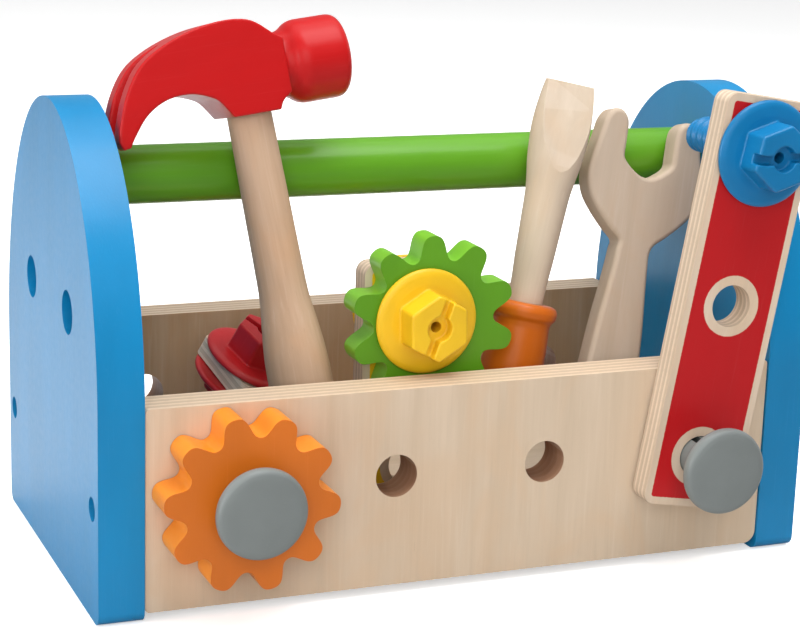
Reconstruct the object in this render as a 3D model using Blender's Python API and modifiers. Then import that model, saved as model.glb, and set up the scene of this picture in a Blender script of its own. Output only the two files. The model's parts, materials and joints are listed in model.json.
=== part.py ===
"""Wooden toy tool box with its tools: ply box with arched ends and a round carrying bar, hammer,
screwdriver, wrench, two gears, three drilled ply pieces, split pegs and coarse-threaded bolts
with nuts.

Sizes are in millimetres and angles in degrees; the scene is in metres, +Z up. +X runs along the
box, -Y is its front. Places count from the middle of the box's footprint, on the floor; at the
end everything moves back so that the origin is the middle of the whole outline.
"""

import math

import bmesh
import bpy
from mathutils import Matrix, Vector

MM = 0.001
GAP = 0.3  # clearance between neighbouring pieces
HOLE_R = 7.3  # drilled holes in the box, the strips, the plate and the orange gear

# Box, shared by several sections
BOX_LENGTH = 255.0
END_THICK = 15.1
END_DEPTH = 133.0
HALF_LENGTH = BOX_LENGTH / 2
HALF_DEPTH = END_DEPTH / 2
INNER_X = HALF_LENGTH - END_THICK
BASE_TOP = 12.1
HOLE_PITCH, HOLE_Z = 54.0, 41.0
BAR_R, BAR_Z = 9.9, 132.75

# (x, z) of the outermost holes in the front board
LEFT_HOLE = (-1.5 * HOLE_PITCH, HOLE_Z)
RIGHT_HOLE = (1.5 * HOLE_PITCH, HOLE_Z)

# (side of the middle, name) along X and along Y
ENDS = ((-1, "left"), (1, "right"))
SIDES = ((-1, "front"), (1, "back"))

# Linear base colours
BLUE = (0.006, 0.165, 0.430)
BIRCH = (0.640, 0.480, 0.320)
BEECH = (0.620, 0.440, 0.290)
GREEN = (0.130, 0.430, 0.015)
RED = (0.560, 0.008, 0.012)
ORANGE = (0.760, 0.190, 0.010)
YELLOW = (0.900, 0.560, 0.010)
GREY = (0.230, 0.250, 0.245)
STEEL = (0.560, 0.570, 0.580)

for old in list(bpy.data.objects):
    bpy.data.objects.remove(old, do_unlink=True)

parts = bpy.data.collections.new("toy_tool_box")
cutters = bpy.data.collections.new("cutters")
bpy.context.scene.collection.children.link(parts)
bpy.context.scene.collection.children.link(cutters)


# ---------------------------------------------------------------- objects


def paint(colour, roughness, metallic=0.0):
    return {"colour": colour, "roughness": roughness, "metallic": metallic}


def material(name, colour, roughness, metallic):
    made = bpy.data.materials.new(name)
    made.use_nodes = True
    shader = made.node_tree.nodes["Principled BSDF"]
    shader.inputs["Base Color"].default_value = (*colour, 1.0)
    shader.inputs["Roughness"].default_value = roughness
    shader.inputs["Metallic"].default_value = metallic
    made.diffuse_color = (*colour, 1.0)
    return made


def place(obj, at=(0, 0, 0), turn=(0, 0, 0), parent=None):
    obj.location = [v * MM for v in at]
    obj.rotation_euler = [math.radians(a) for a in turn]
    if parent:
        obj.parent = parent
    return obj


def stand(obj, at, y, lean=0.0):
    """Stand the object up at (x, z), its own +Z towards the front; lean tips it to the right."""
    return place(obj, (at[0], y, at[1]), (90, lean, 0))


def hide(obj):
    obj.hide_render = True
    obj.display_type = "WIRE"


def from_mesh(name, mesh, finish=None, collection=parts):
    obj = bpy.data.objects.new(name, mesh)
    collection.objects.link(obj)
    if finish:
        mesh.materials.clear()
        mesh.materials.append(material(name + "_finish", **finish))
    if collection is cutters:
        hide(obj)
    return obj


def frame(name, at, matrix):
    """An empty at this place, turned by a 3 x 3 matrix."""
    empty = bpy.data.objects.new(name, None)
    parts.objects.link(empty)
    empty.empty_display_size = 0.02
    empty.matrix_world = Matrix.Translation([v * MM for v in at]) @ matrix.to_4x4()
    return empty


# ---------------------------------------------------------------- outlines


def circle(radius, at=(0.0, 0.0), count=20, start=0.0):
    return [
        (
            at[0] + radius * math.cos(start + 2 * math.pi * i / count),
            at[1] + radius * math.sin(start + 2 * math.pi * i / count),
        )
        for i in range(count)
    ]


def quarter(cx, cy, radius, start, steps=3):
    """An anticlockwise quarter circle from the start angle."""
    angles = [math.radians(start + 90 * i / steps) for i in range(steps + 1)]
    return [(cx + radius * math.cos(a), cy + radius * math.sin(a)) for a in angles]


def rounded_rectangle(x0, y0, x1, y1, radius, low_right=None):
    """Anticlockwise from the bottom right corner, whose radius can differ from the others'."""
    first = radius if low_right is None else low_right
    return (
        quarter(x1 - first, y0 + first, first, -90)
        + quarter(x1 - radius, y1 - radius, radius, 0)
        + quarter(x0 + radius, y1 - radius, radius, 90)
        + quarter(x0 + radius, y0 + radius, radius, 180)
    )


def smooth(points, steps, closed=True):
    """A Catmull-Rom curve through the points."""
    made = []
    count = len(points)
    for i in range(count if closed else count - 1):
        p = [
            Vector(points[(i + k) % count] if closed else points[min(max(i + k, 0), count - 1)])
            for k in (-1, 0, 1, 2)
        ]
        for j in range(steps):
            t = j / steps
            made.append(
                tuple(
                    0.5
                    * (
                        2 * p[1]
                        + (p[2] - p[0]) * t
                        + (2 * p[0] - 5 * p[1] + 4 * p[2] - p[3]) * t * t
                        + (3 * p[1] - p[0] - 3 * p[2] + p[3]) * t * t * t
                    )
                )
            )
    if not closed:
        made.append(tuple(points[-1]))
    return made


# ---------------------------------------------------------------- solids


def mesh_of_curve(curve, name):
    """The curve's solid as a welded mesh."""
    temp = bpy.data.objects.new(name + "_curve", curve)
    bpy.context.scene.collection.objects.link(temp)
    bpy.context.view_layer.update()
    graph = bpy.context.evaluated_depsgraph_get()
    mesh = bpy.data.meshes.new_from_object(temp.evaluated_get(graph))
    bm = bmesh.new()
    bm.from_mesh(mesh)
    bmesh.ops.remove_doubles(bm, verts=bm.verts, dist=1e-6)
    bmesh.ops.recalc_face_normals(bm, faces=bm.faces)
    bm.to_mesh(mesh)
    bm.free()
    bpy.data.objects.remove(temp, do_unlink=True)
    mesh.name = name
    return mesh


def flat_mesh(name, outlines, thick):
    """A plate centred on the XY plane: the first outline is the edge, the others are holes."""
    curve = bpy.data.curves.new(name, "CURVE")
    curve.dimensions = "2D"
    curve.fill_mode = "BOTH"
    curve.extrude = thick / 2 * MM
    for outline in outlines:
        spline = curve.splines.new("POLY")
        spline.points.add(len(outline) - 1)
        for point, (x, y) in zip(spline.points, outline):
            point.co = (x * MM, y * MM, 0.0, 1.0)
        spline.use_cyclic_u = True
    return mesh_of_curve(curve, name)


def bevel(obj, width, segments):
    mod = obj.modifiers.new("soft_edges", "BEVEL")
    mod.width = width * MM
    mod.segments = segments
    mod.limit_method = "ANGLE"
    mod.angle_limit = math.radians(40.0)
    mod.use_clamp_overlap = True


def flat(name, outlines, thick, finish, edge, segments=1):
    """A visible plate with bevelled edges."""
    obj = from_mesh(name, flat_mesh(name, outlines, thick), finish)
    if edge:
        bevel(obj, edge, segments)
    return obj


def turned(name, profile, steps, finish=None, collection=parts):
    """A solid turned about Z from (radius, height) points that run from the top down."""
    mesh = bpy.data.meshes.new(name)
    verts = [(r * MM, 0.0, z * MM) for r, z in profile]
    mesh.from_pydata(verts, [(i, i + 1) for i in range(len(verts) - 1)], [])
    obj = from_mesh(name, mesh, finish, collection)
    mod = obj.modifiers.new("turn", "SCREW")
    mod.axis = "Z"
    mod.angle = 2 * math.pi
    mod.steps = steps
    mod.render_steps = steps
    mod.use_merge_vertices = True
    mod.merge_threshold = 0.00001
    mod.use_smooth_shade = True
    return obj


def boolean(obj, other, operation="DIFFERENCE"):
    mod = obj.modifiers.new(operation.lower(), "BOOLEAN")
    mod.operation = operation
    mod.solver = "EXACT"
    mod.object = other


def active_as_cutter(name):
    """Name the primitive just added and move it to the hidden cutters."""
    obj = bpy.context.active_object
    obj.name = name
    for home in list(obj.users_collection):
        home.objects.unlink(obj)
    cutters.objects.link(obj)
    hide(obj)
    return obj


def box_cutter(name, size, at, turn, parent):
    bpy.ops.mesh.primitive_cube_add(size=1.0)
    obj = active_as_cutter(name)
    for vert in obj.data.vertices:
        vert.co = [c * s * MM for c, s in zip(vert.co, size)]
    return place(obj, at, turn, parent)


def rod_cutter(name, radius, depth, at=(0, 0, 0), turn=(0, 0, 0), parent=None, vertices=24):
    """A cylinder along its own Z, centred on its place."""
    bpy.ops.mesh.primitive_cylinder_add(vertices=vertices, radius=radius * MM, depth=depth * MM)
    return place(active_as_cutter(name), at, turn, parent)


def mesh_cutter(name, mesh, parent, at=(0, 0, 0), turn=(0, 0, 0)):
    return place(from_mesh(name, mesh, collection=cutters), at, turn, parent)


# ---------------------------------------------------------------- box

END_STRAIGHT = 67.0  # height at which the arch starts
END_HEIGHT = 159.5
END_CORNER = 4.0
ARCH_STEPS = 26
END_HOLE_Y, END_HOLE_Z = 26.5, 93.5
RIGHT_HOLES_BACK = 3.5  # the right panel's holes sit this much further back
BOARD_THICK = 14.8
BOARD_BACK = 0.8  # the boards' outer faces lie this far inside the end panels' edges
BOARD_LOW, BOARD_TOP = 3.0, 70.6
BASE_THICK = 6.0
BAR_CLEAR, BAR_SOCKET = 0.25, 16.0  # the sockets' depth counts from 8 mm either side of INNER_X
BAR_HALF = INNER_X + 7.4
BAR_EDGE = 1.0
SCREW_Y, SCREW_Z = 58.5, 37.2
SCREW_SUNK = 2.2  # depth of the screw heads' tops below the end panels' outer faces
COUNTERBORE_R, COUNTERBORE = 4.0, 10.0
SCREW_WAY_R, SCREW_WAY = 2.35, 37.0
SCREW_WAY_IN = 16.0  # the screw way's middle, inwards from the outer face

# (radius, height)
SCREW_PROFILE = [
    (0, 0), (3.1, 0), (3.6, -0.5), (3.6, -2.3),
    (2.0, -2.7), (2.0, -26.0), (0, -29.0),
]

screw_ways = {}  # (end, side) -> cutter


def end_outline():
    corner = END_CORNER
    rise = END_HEIGHT - END_STRAIGHT
    angles = [math.pi * i / ARCH_STEPS for i in range(ARCH_STEPS + 1)]
    return (
        quarter(HALF_DEPTH - corner, corner, corner, -90)
        + [(HALF_DEPTH * math.cos(a), END_STRAIGHT + rise * math.sin(a)) for a in angles]
        + quarter(-HALF_DEPTH + corner, corner, corner, 180)
    )


def end_panel(side, end):
    back = RIGHT_HOLES_BACK if side > 0 else 0.0
    holes = [circle(HOLE_R, (y + back, END_HOLE_Z)) for y in (-END_HOLE_Y, END_HOLE_Y)]
    panel = flat(
        end + "_end_panel", [end_outline()] + holes, END_THICK, paint(BLUE, 0.35), 1.8, 2
    )
    place(panel, (side * (BOX_LENGTH - END_THICK) / 2, 0, 0), (90, 0, 90))
    along_x = (0, 90, 0)
    socket_at = (side * INNER_X, 0, BAR_Z)
    boolean(
        panel,
        rod_cutter(end + "_bar_socket", BAR_R + BAR_CLEAR, BAR_SOCKET, socket_at, along_x),
    )
    for sign, label in SIDES:
        tag = end + "_" + label
        y = sign * SCREW_Y
        bore_at = (side * HALF_LENGTH, y, SCREW_Z)
        way_at = (side * (HALF_LENGTH - SCREW_WAY_IN), y, SCREW_Z)
        bore = rod_cutter(
            tag + "_counterbore", COUNTERBORE_R, COUNTERBORE, bore_at, along_x, vertices=16
        )
        way = rod_cutter(
            tag + "_screw_way", SCREW_WAY_R, SCREW_WAY, way_at, along_x, vertices=12
        )
        boolean(panel, bore)
        boolean(panel, way)
        screw_ways[end, label] = way


def long_board(sign, label):
    edge = rounded_rectangle(
        -INNER_X + GAP, BOARD_LOW, INNER_X - GAP, BOARD_TOP, 1.5, low_right=4.5
    )
    # each hole's first point is turned a little further than the last one's
    holes = [
        circle(HOLE_R, (x * HOLE_PITCH, HOLE_Z), start=0.06 * (k + 1))
        for k, x in enumerate((-1.5, -0.5, 0.5, 1.5))
    ]
    board = flat(label + "_panel", [edge] + holes, BOARD_THICK, paint(BIRCH, 0.55), 0.8)
    stand(board, (0, 0), sign * (HALF_DEPTH - BOARD_BACK - BOARD_THICK / 2))
    for _, end in ENDS:
        boolean(board, screw_ways[end, label])


def base_panel():
    x = INNER_X - GAP
    y = HALF_DEPTH - BOARD_BACK - BOARD_THICK - GAP
    outline = [(-x, -y), (x, -y), (x, y), (-x, y)]
    base = flat("base_panel", [outline], BASE_THICK, paint(BIRCH, 0.6), edge=0)
    place(base, (0, 0, BASE_TOP - BASE_THICK / 2))


def handle_bar():
    profile = [
        (0, BAR_HALF), (BAR_R - BAR_EDGE, BAR_HALF), (BAR_R, BAR_HALF - BAR_EDGE),
        (BAR_R, -BAR_HALF + BAR_EDGE), (BAR_R - BAR_EDGE, -BAR_HALF), (0, -BAR_HALF),
    ]
    bar = turned("handle_bar", profile, 24, paint(GREEN, 0.3))
    place(bar, (0, 0, BAR_Z), (0, 90, 0))


def screw(side, end, sign, label):
    tag = end + "_" + label
    obj = turned("screw_" + tag, SCREW_PROFILE, 12, paint(STEEL, 0.35, 0.9))
    boolean(obj, rod_cutter("socket_" + tag, 1.9, 3.0, vertices=6, parent=obj))
    place(obj, (side * (HALF_LENGTH - SCREW_SUNK), sign * SCREW_Y, SCREW_Z), (0, side * 90, 0))


for side, end in ENDS:
    end_panel(side, end)
for sign, label in SIDES:
    long_board(sign, label)
base_panel()
handle_bar()
for side, end in ENDS:
    for sign, label in SIDES:
        screw(side, end, sign, label)

# ---------------------------------------------------------------- pegs

PEG_R, PEG_LEN, PEG_HEAD_R, PEG_HEAD = 7.0, 36.0, 14.9, 5.0
PEG_SLOT = 3.0
PEG_SLOT_BELOW = 3.0  # the split starts this far behind the head
LEFT_PEG_FACE, RIGHT_PEG_FACE = -91.1, -95.1

# (radius, height); the head's back is at height 0
PEG_PROFILE = [
    (0, PEG_HEAD),
    (PEG_HEAD_R - 2.6, PEG_HEAD),
    (PEG_HEAD_R - 1.1, PEG_HEAD - 0.35),
    (PEG_HEAD_R - 0.25, PEG_HEAD - 1.2),
    (PEG_HEAD_R, PEG_HEAD - 2.3),
    (PEG_HEAD_R, 1.4),
    (PEG_HEAD_R - 1.2, 0),
    (PEG_R + 0.3, 0),
    (PEG_R, -0.4),
    (PEG_R, -PEG_LEN + 2.2),
    (PEG_R - 0.7, -PEG_LEN + 0.6),
    (PEG_R - 2.0, -PEG_LEN),
    (0, -PEG_LEN),
]


def peg(name, face_y, at, slot_turn):
    obj = turned(name, PEG_PROFILE, 24, paint(GREY, 0.45))
    size = (PEG_SLOT, 2 * PEG_R + 2, PEG_LEN)
    slot_at = (0, 0, -PEG_LEN / 2 - PEG_SLOT_BELOW)
    boolean(obj, box_cutter(name + "_slot", size, slot_at, (0, 0, slot_turn), obj))
    stand(obj, at, face_y + PEG_HEAD)


peg("left_peg", LEFT_PEG_FACE, LEFT_HOLE, slot_turn=60)
peg("right_peg", RIGHT_PEG_FACE, RIGHT_HOLE, slot_turn=15)

# ---------------------------------------------------------------- gears

GEAR_TEETH = 10
POINTS_PER_TOOTH = 8
TOOTH_BIAS = 0.12  # makes the teeth wider than the gaps
TOOTH_STEEP = 1.35  # steepness of the flanks
ORANGE_FACE = -80.3
GREEN_GEAR_AT = (-6.1, 86.46)
GREEN_FACE, GREEN_THICK = -44.0, 10.4


def gear_outline(phase, tip, root):
    """Round-topped teeth, a little wider than the round gaps between them."""
    middle = (tip + root) / 2
    height = (tip - root) / 2
    points = []
    count = GEAR_TEETH * POINTS_PER_TOOTH
    for i in range(count):
        turn = 2 * math.pi * i / count
        wave = math.cos(GEAR_TEETH * turn) + TOOTH_BIAS
        push = math.tanh(TOOTH_STEEP * wave) / math.tanh(TOOTH_STEEP * (1 + TOOTH_BIAS))
        r = middle + height * push
        angle = turn + math.radians(phase)
        points.append((r * math.cos(angle), r * math.sin(angle)))
    return points


def gear(name, colour, at, face_y, thick, phase, tip, root, bore):
    outlines = [gear_outline(phase, tip, root), circle(bore)]
    stand(flat(name, outlines, thick, paint(colour, 0.4), 0.9), at, face_y + thick / 2)


gear(
    "orange_gear", ORANGE, LEFT_HOLE, ORANGE_FACE, thick=14.2,
    phase=31.1, tip=29.2, root=21.9, bore=HOLE_R,
)
# its bore is wider than the other holes, because the gear hangs off its bolt's axis
gear(
    "green_gear", GREEN, GREEN_GEAR_AT, GREEN_FACE, thick=GREEN_THICK,
    phase=20.2, tip=29.8, root=21.4, bore=10.6,
)

# ---------------------------------------------------------------- drilled ply strips

PLY = 8.9
STRIP_WIDE = 36.0
STRIP_PITCH = 53.4
RED_STRIP_FACE = -75.65
RED_STRIP_LEAN = 9.36
YELLOW_STRIP_AT = (-9.4, 87.05)
YELLOW_STRIP_FACE = GREEN_FACE + GREEN_THICK + GAP


def strip(name, colour, holes, origin_hole, at, face_y, lean=0.0):
    """A ply strip whose origin is on the axis of one of its holes, at mid thickness."""
    low = -STRIP_WIDE / 2 - origin_hole * STRIP_PITCH
    high = low + STRIP_WIDE + (holes - 1) * STRIP_PITCH
    outline = rounded_rectangle(-STRIP_WIDE / 2, low, STRIP_WIDE / 2, high, 4.0)
    bores = [circle(HOLE_R, (0, (k - origin_hole) * STRIP_PITCH)) for k in range(holes)]
    obj = flat(name, [outline] + bores, PLY, paint(colour, 0.45), 1.2)
    stand(obj, at, face_y + PLY / 2, lean)


strip("red_strip", RED, 3, 0, RIGHT_HOLE, RED_STRIP_FACE, RED_STRIP_LEAN)
strip("yellow_strip", YELLOW, 2, 1, YELLOW_STRIP_AT, YELLOW_STRIP_FACE)

# ---------------------------------------------------------------- bolts and nuts

FLANGE_R, FLANGE = 18.2, 2.9
FLANGE_RIM = FLANGE - 1.6  # height of the bolt flange's widest ring
HEX_ACROSS, HEX_HIGH, NUT_HIGH = 20.0, 10.4, 6.0
HEX_SUNK = 2.0  # how far a hexagon runs into its flange
CORE_R, RIDGE, PITCH, SHANK = 5.3, 1.2, 4.0, 41.8
THREAD_CLEAR = 0.5
THREAD_POINTS, LEVELS_PER_TURN = 12, 6
HEAD_SLOT, HEAD_SLOT_CUT = 3.3, 7.6  # half of this cut's depth, and the next two's, is in the head
RECESS_R, RECESS_CUT = 4.3, 7.8
EYE_R, EYE_CUT = 1.9, 36.0

# (radius, height)
BOLT_FLANGE = [
    (0, FLANGE + 0.3),
    (13.0, FLANGE + 0.2),
    (16.2, FLANGE - 0.2),
    (17.6, FLANGE - 0.8),
    (FLANGE_R, FLANGE_RIM),
    (FLANGE_R - 0.2, 0.5),
    (FLANGE_R - 0.9, 0.0),
    (0, 0.0),
]
NUT_FLANGE = [
    (0, 0.0),
    (FLANGE_R - 0.9, 0.0),
    (FLANGE_R - 0.1, -0.6),
    (FLANGE_R, -1.4),
    (FLANGE_R - 0.7, -2.3),
    (FLANGE_R - 2.2, -FLANGE),
    (0, -FLANGE - 0.3),
]


def thread_mesh(name, low, high, clear=0.0):
    """A rounded screw thread along Z: an off-axis circle that turns once in each pitch."""
    radius = CORE_R + RIDGE / 2 + clear
    offset = RIDGE / 2
    first = math.floor(low / PITCH * LEVELS_PER_TURN) + 1
    last = math.ceil(high / PITCH * LEVELS_PER_TURN)
    levels = [low] + [PITCH * i / LEVELS_PER_TURN for i in range(first, last)] + [high]
    count = THREAD_POINTS
    verts, faces = [], []
    for z in levels:
        ahead = 2 * math.pi * z / PITCH
        for k in range(count):
            a = 2 * math.pi * k / count
            x = radius * math.cos(a) + offset * math.cos(ahead)
            y = radius * math.sin(a) + offset * math.sin(ahead)
            verts.append((x * MM, y * MM, z * MM))
    for level in range(len(levels) - 1):
        for k in range(count):
            one, two = level * count + k, level * count + (k + 1) % count
            faces.append((one, two, two + count, one + count))
    faces.append(tuple(reversed(range(count))))
    faces.append(tuple(len(verts) - count + k for k in range(count)))
    mesh = bpy.data.meshes.new(name)
    mesh.from_pydata(verts, [], faces)
    return mesh


def join_hexagon(obj, low, high, turn=0.0):
    """Join a hexagonal prism between these heights to the object."""
    name = obj.name + "_hex"
    outline = circle(HEX_ACROSS / math.sqrt(3), count=6, start=math.radians(90 + turn))
    mesh = flat_mesh(name, [outline], high - low)
    prism = mesh_cutter(name, mesh, obj, (0, 0, (low + high) / 2))
    bevel(prism, 1.0, 2)
    boolean(obj, prism, "UNION")


def bolt(name, colour, hex_turn, slot_turn):
    """Origin on the axis at the back of the flange; the head is towards +Z."""
    obj = turned(name, BOLT_FLANGE, 24, paint(colour, 0.4))
    top = FLANGE + HEX_HIGH
    top_at = (0, 0, top)
    join_hexagon(obj, FLANGE - HEX_SUNK, top, hex_turn)
    thread = name + "_thread"
    boolean(obj, mesh_cutter(thread, thread_mesh(thread, -SHANK, 1.0), obj), "UNION")
    slot_size = (HEAD_SLOT, 2 * HEX_ACROSS, HEAD_SLOT_CUT)
    boolean(obj, box_cutter(name + "_slot", slot_size, top_at, (0, 0, slot_turn), obj))
    recess = rod_cutter(name + "_recess", RECESS_R, RECESS_CUT, top_at, parent=obj, vertices=16)
    boolean(obj, recess)
    boolean(obj, rod_cutter(name + "_eye", EYE_R, EYE_CUT, top_at, parent=obj, vertices=10))
    return obj


def nut(name, colour, thread_from=0.0):
    """Origin on the axis at the flange's clamping face; the nut runs towards -Z.

    thread_from is the height of the bolt's origin above the nut's, so that the threads match.
    """
    obj = turned(name, NUT_FLANGE, 24, paint(colour, 0.4))
    join_hexagon(obj, -FLANGE - NUT_HIGH, -FLANGE + HEX_SUNK)
    bore = name + "_bore"
    low, high = -NUT_HIGH - FLANGE - 3 - thread_from, 3 - thread_from
    mesh = thread_mesh(bore, low, high, THREAD_CLEAR)
    boolean(obj, mesh_cutter(bore, mesh, obj, (0, 0, thread_from)))
    return obj


BOLT_SINK = 0.2  # a standing bolt's origin lies this far in front of the face behind it

# Blue bolt, loose in the red strip's top hole
BLUE_BOLT_SHIFT = (-0.3, -0.4)  # (x, z) from the hole's axis
lean = math.radians(RED_STRIP_LEAN)
blue_bolt_at = (
    RIGHT_HOLE[0] + 2 * STRIP_PITCH * math.sin(lean) + BLUE_BOLT_SHIFT[0],
    RIGHT_HOLE[1] + 2 * STRIP_PITCH * math.cos(lean) + BLUE_BOLT_SHIFT[1],
)
blue_bolt = bolt("blue_bolt", BLUE, hex_turn=-12, slot_turn=78)
stand(blue_bolt, blue_bolt_at, RED_STRIP_FACE - BOLT_SINK)

# Yellow bolt through the green gear and the yellow strip, with its nut behind
YELLOW_BOLT_AT = (-9.57, 87.5)
bolt_back = GREEN_FACE - BOLT_SINK
nut_face = YELLOW_STRIP_FACE + PLY + GAP
stand(bolt("yellow_bolt", YELLOW, hex_turn=2, slot_turn=-20), YELLOW_BOLT_AT, bolt_back)
stand(nut("yellow_nut", YELLOW, nut_face - bolt_back), YELLOW_BOLT_AT, nut_face)

# Red bolt, short green ply plate and nut lying tilted in the tray
RED_RIM_AT = (-51.5, 12.0, 62.2)  # middle of the bolt flange's widest ring
RED_AZIMUTH, RED_RISE = 48.0, 61.0  # axis: turn from the front to the right, and slope
PLATE_UP = (-0.242, 0.873, 0.424)  # rough direction of the plate's long side
PLATE_WIDE, PLATE_LONG, PLATE_THICK = 26.0, 30.0, 6.8


def red_stack():
    azimuth, rise = math.radians(RED_AZIMUTH), math.radians(RED_RISE)
    axis = Vector(
        (
            math.sin(azimuth) * math.cos(rise),
            -math.cos(azimuth) * math.cos(rise),
            math.sin(rise),
        )
    )
    up = Vector(PLATE_UP)
    up = (up - up.dot(axis) * axis).normalized()
    tilt = Matrix((up.cross(axis), up, axis)).transposed()
    stack = frame("red_stack_frame", Vector(RED_RIM_AT) - axis * FLANGE_RIM, tilt)

    place(bolt("red_bolt", RED, hex_turn=8, slot_turn=30), parent=stack)
    x, y = PLATE_WIDE / 2, PLATE_LONG / 2
    outlines = [rounded_rectangle(-x, -y, x, y, 3.0), circle(HOLE_R)]
    plate = flat("green_plate", outlines, PLATE_THICK, paint(GREEN, 0.45), 0.8)
    place(plate, (0, 0, -GAP - PLATE_THICK / 2), parent=stack)
    nut_below = 2 * GAP + PLATE_THICK
    place(nut("red_nut", RED, nut_below), (0, 0, -nut_below), parent=stack)


red_stack()

# Spare blue nut flat on the tray's floor, under the red bolt's end
BLUE_NUT_AT = (-69.7, 27.9)
place(nut("blue_nut", BLUE), (*BLUE_NUT_AT, BASE_TOP + GAP), (180, 0, 25))

# ---------------------------------------------------------------- hand tools


def leaning(name, x, y, back, right):
    """A frame at the bar's height, whose Z runs up a tool that leans back and to the right."""
    tip_back = Matrix.Rotation(math.radians(-back), 3, "X")
    tip_right = Matrix.Rotation(math.radians(right), 3, "Y")
    return frame(name, (x, y, BAR_Z), tip_back @ tip_right)


# Hammer: round handle with a swelling grip, head with a striking end and a split claw
HANDLE_TURN = 1.05  # the hammer's handle isn't quite square to its head
HANDLE_X = 0.4
HAMMER_THICK = 24.0
STRIKER_Z = 36.6

# (radius, height)
HAMMER_HANDLE = [
    (0, 44.0), (6.6, 44.0), (7.2, 43.2), (7.45, 22.0), (7.7, 4.0), (7.9, -12.0),
    (8.1, -28.0), (8.4, -40.0), (9.6, -50.0), (10.6, -60.0), (10.9, -72.0), (10.6, -92.0),
    (9.8, -108.0), (8.2, -115.5), (4.8, -119.4), (0, -120.4),
]
STRIKER = [
    (0, 34.9), (11.2, 34.9), (12.8, 34.4), (13.8, 33.1), (14.0, 31.3), (14.0, 19.6),
    (13.2, 17.2), (11.4, 15.0), (10.6, 12.0), (10.6, 2.0), (0, 2.0),
]

# (x, height) round the head, clockwise from the claw's tip
CLAW_TOP = [
    (-46.9, 17.6), (-47.9, 20.5), (-46.6, 26.0), (-43.0, 34.8), (-37.0, 43.1),
    (-28.5, 48.4), (-17.4, 52.1), (-6.4, 53.5), (2.2, 52.2), (9.1, 47.0),
]
STRIKER_SIDE = [(12.2, 45.0), (12.2, 27.2)]
CHEEK = [(11.0, 26.3), (8.8, 24.6), (7.6, 22.0)]
CHEEK_END = [(-8.6, 22.0)]
CLAW_UNDER = [
    (-10.6, 25.0), (-14.2, 29.0), (-22.0, 31.7), (-30.2, 31.0), (-37.0, 27.4),
    (-42.0, 21.8), (-44.6, 17.9),
]
# (x, y) wedge that splits the claw, widest beyond its tip
CLAW_SLOT = [(-60.0, -4.4), (-27.2, -0.5), (-27.2, 0.5), (-60.0, 4.4)]


def hammer():
    tool = leaning("hammer_frame", -59.9, -18.3, back=10.5, right=-7.87)
    handle = turned("hammer_handle", HAMMER_HANDLE, 20, paint(BEECH, 0.55))
    place(handle, (HANDLE_X, 0, 0), (0, -HANDLE_TURN, 0), tool)

    outline = (
        smooth(CLAW_TOP, 3, closed=False)
        + STRIKER_SIDE
        + smooth(CHEEK, 2, closed=False)
        + CHEEK_END
        + smooth(CLAW_UNDER, 3, closed=False)
    )
    # the head is drawn in its own XY plane, Y up, and stood up by its quarter turn
    head = flat("hammer_head", [outline[::-1]], HAMMER_THICK, paint(RED, 0.25), 1.7)
    place(head, turn=(90, 0, 0), parent=tool)
    striker = turned("hammer_striker", STRIKER, 22, collection=cutters)
    place(striker, (0, STRIKER_Z, 0), (0, 90, 0), head)
    boolean(head, striker, "UNION")
    slot = "hammer_claw_slot"
    slot_mesh = flat_mesh(slot, [CLAW_SLOT], 60.0)
    boolean(head, mesh_cutter(slot, slot_mesh, head, (0, 30.0, 0), (90, 0, 0)))
    eye_at = (-0.05, 24.6, 0)
    boolean(head, rod_cutter("hammer_eye", 7.85, 40.0, eye_at, (90, 0, HANDLE_TURN), head))


# Screwdriver, tip up: turned handle with a collar, shaft that swells into a flat blade
BLADE_TURN = -8

# (radius, height)
DRIVER_SHAFT = [
    (0, 30.6), (8.6, 30.6), (9.4, 26.0), (10.1, 20.0), (10.4, 14.0), (10.1, 8.0),
    (9.5, 2.0), (8.7, -3.0), (7.9, -9.0), (7.4, -20.0), (6.9, -32.0), (6.3, -44.0),
    (6.0, -72.0), (5.2, -73.0), (0, -73.0),
]
DRIVER_HANDLE = [
    (0, -47.6), (9.8, -47.6), (11.4, -48.3), (12.2, -50.2), (11.9, -52.4), (10.6, -53.8),
    (10.4, -56.0), (10.9, -63.0), (11.2, -74.0), (11.2, -90.0), (10.6, -104.0),
    (9.2, -114.0), (6.6, -118.2), (0, -119.6),
]
# (half thickness, height) of the shape that flattens the shaft's tip
BLADE_SIDE = [
    (1.5, 31.5), (4.3, 22.0), (6.7, 13.0), (8.6, 3.0), (9.9, -5.0), (12.0, -20.0),
    (12.0, -90.0),
]


def screwdriver():
    tool = leaning("screwdriver_frame", 47.05, -20.4, back=6.0, right=12.9)
    shaft = turned("screwdriver_shaft", DRIVER_SHAFT, 20, paint(BEECH, 0.55))
    place(shaft, turn=(0, 0, BLADE_TURN), parent=tool)
    outline = [(-y, z) for y, z in BLADE_SIDE] + BLADE_SIDE[::-1]
    shape = "screwdriver_blade_shape"
    blade = mesh_cutter(shape, flat_mesh(shape, [outline], 40.0), shaft, turn=(90, 0, 90))
    boolean(shaft, blade, "INTERSECT")

    handle = turned("screwdriver_handle", DRIVER_HANDLE, 22, paint(ORANGE, 0.35))
    place(handle, parent=tool)
    boolean(handle, rod_cutter("screwdriver_socket", 6.6, 30.0, (0, 0, -60.0), parent=handle))


# Wrench: flat open-end spanner, its head set slightly to one side of its handle
WRENCH_THICK, WRENCH_FRONT = 9.6, -5.75
WRENCH_HEAD_X = 2.05

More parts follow.
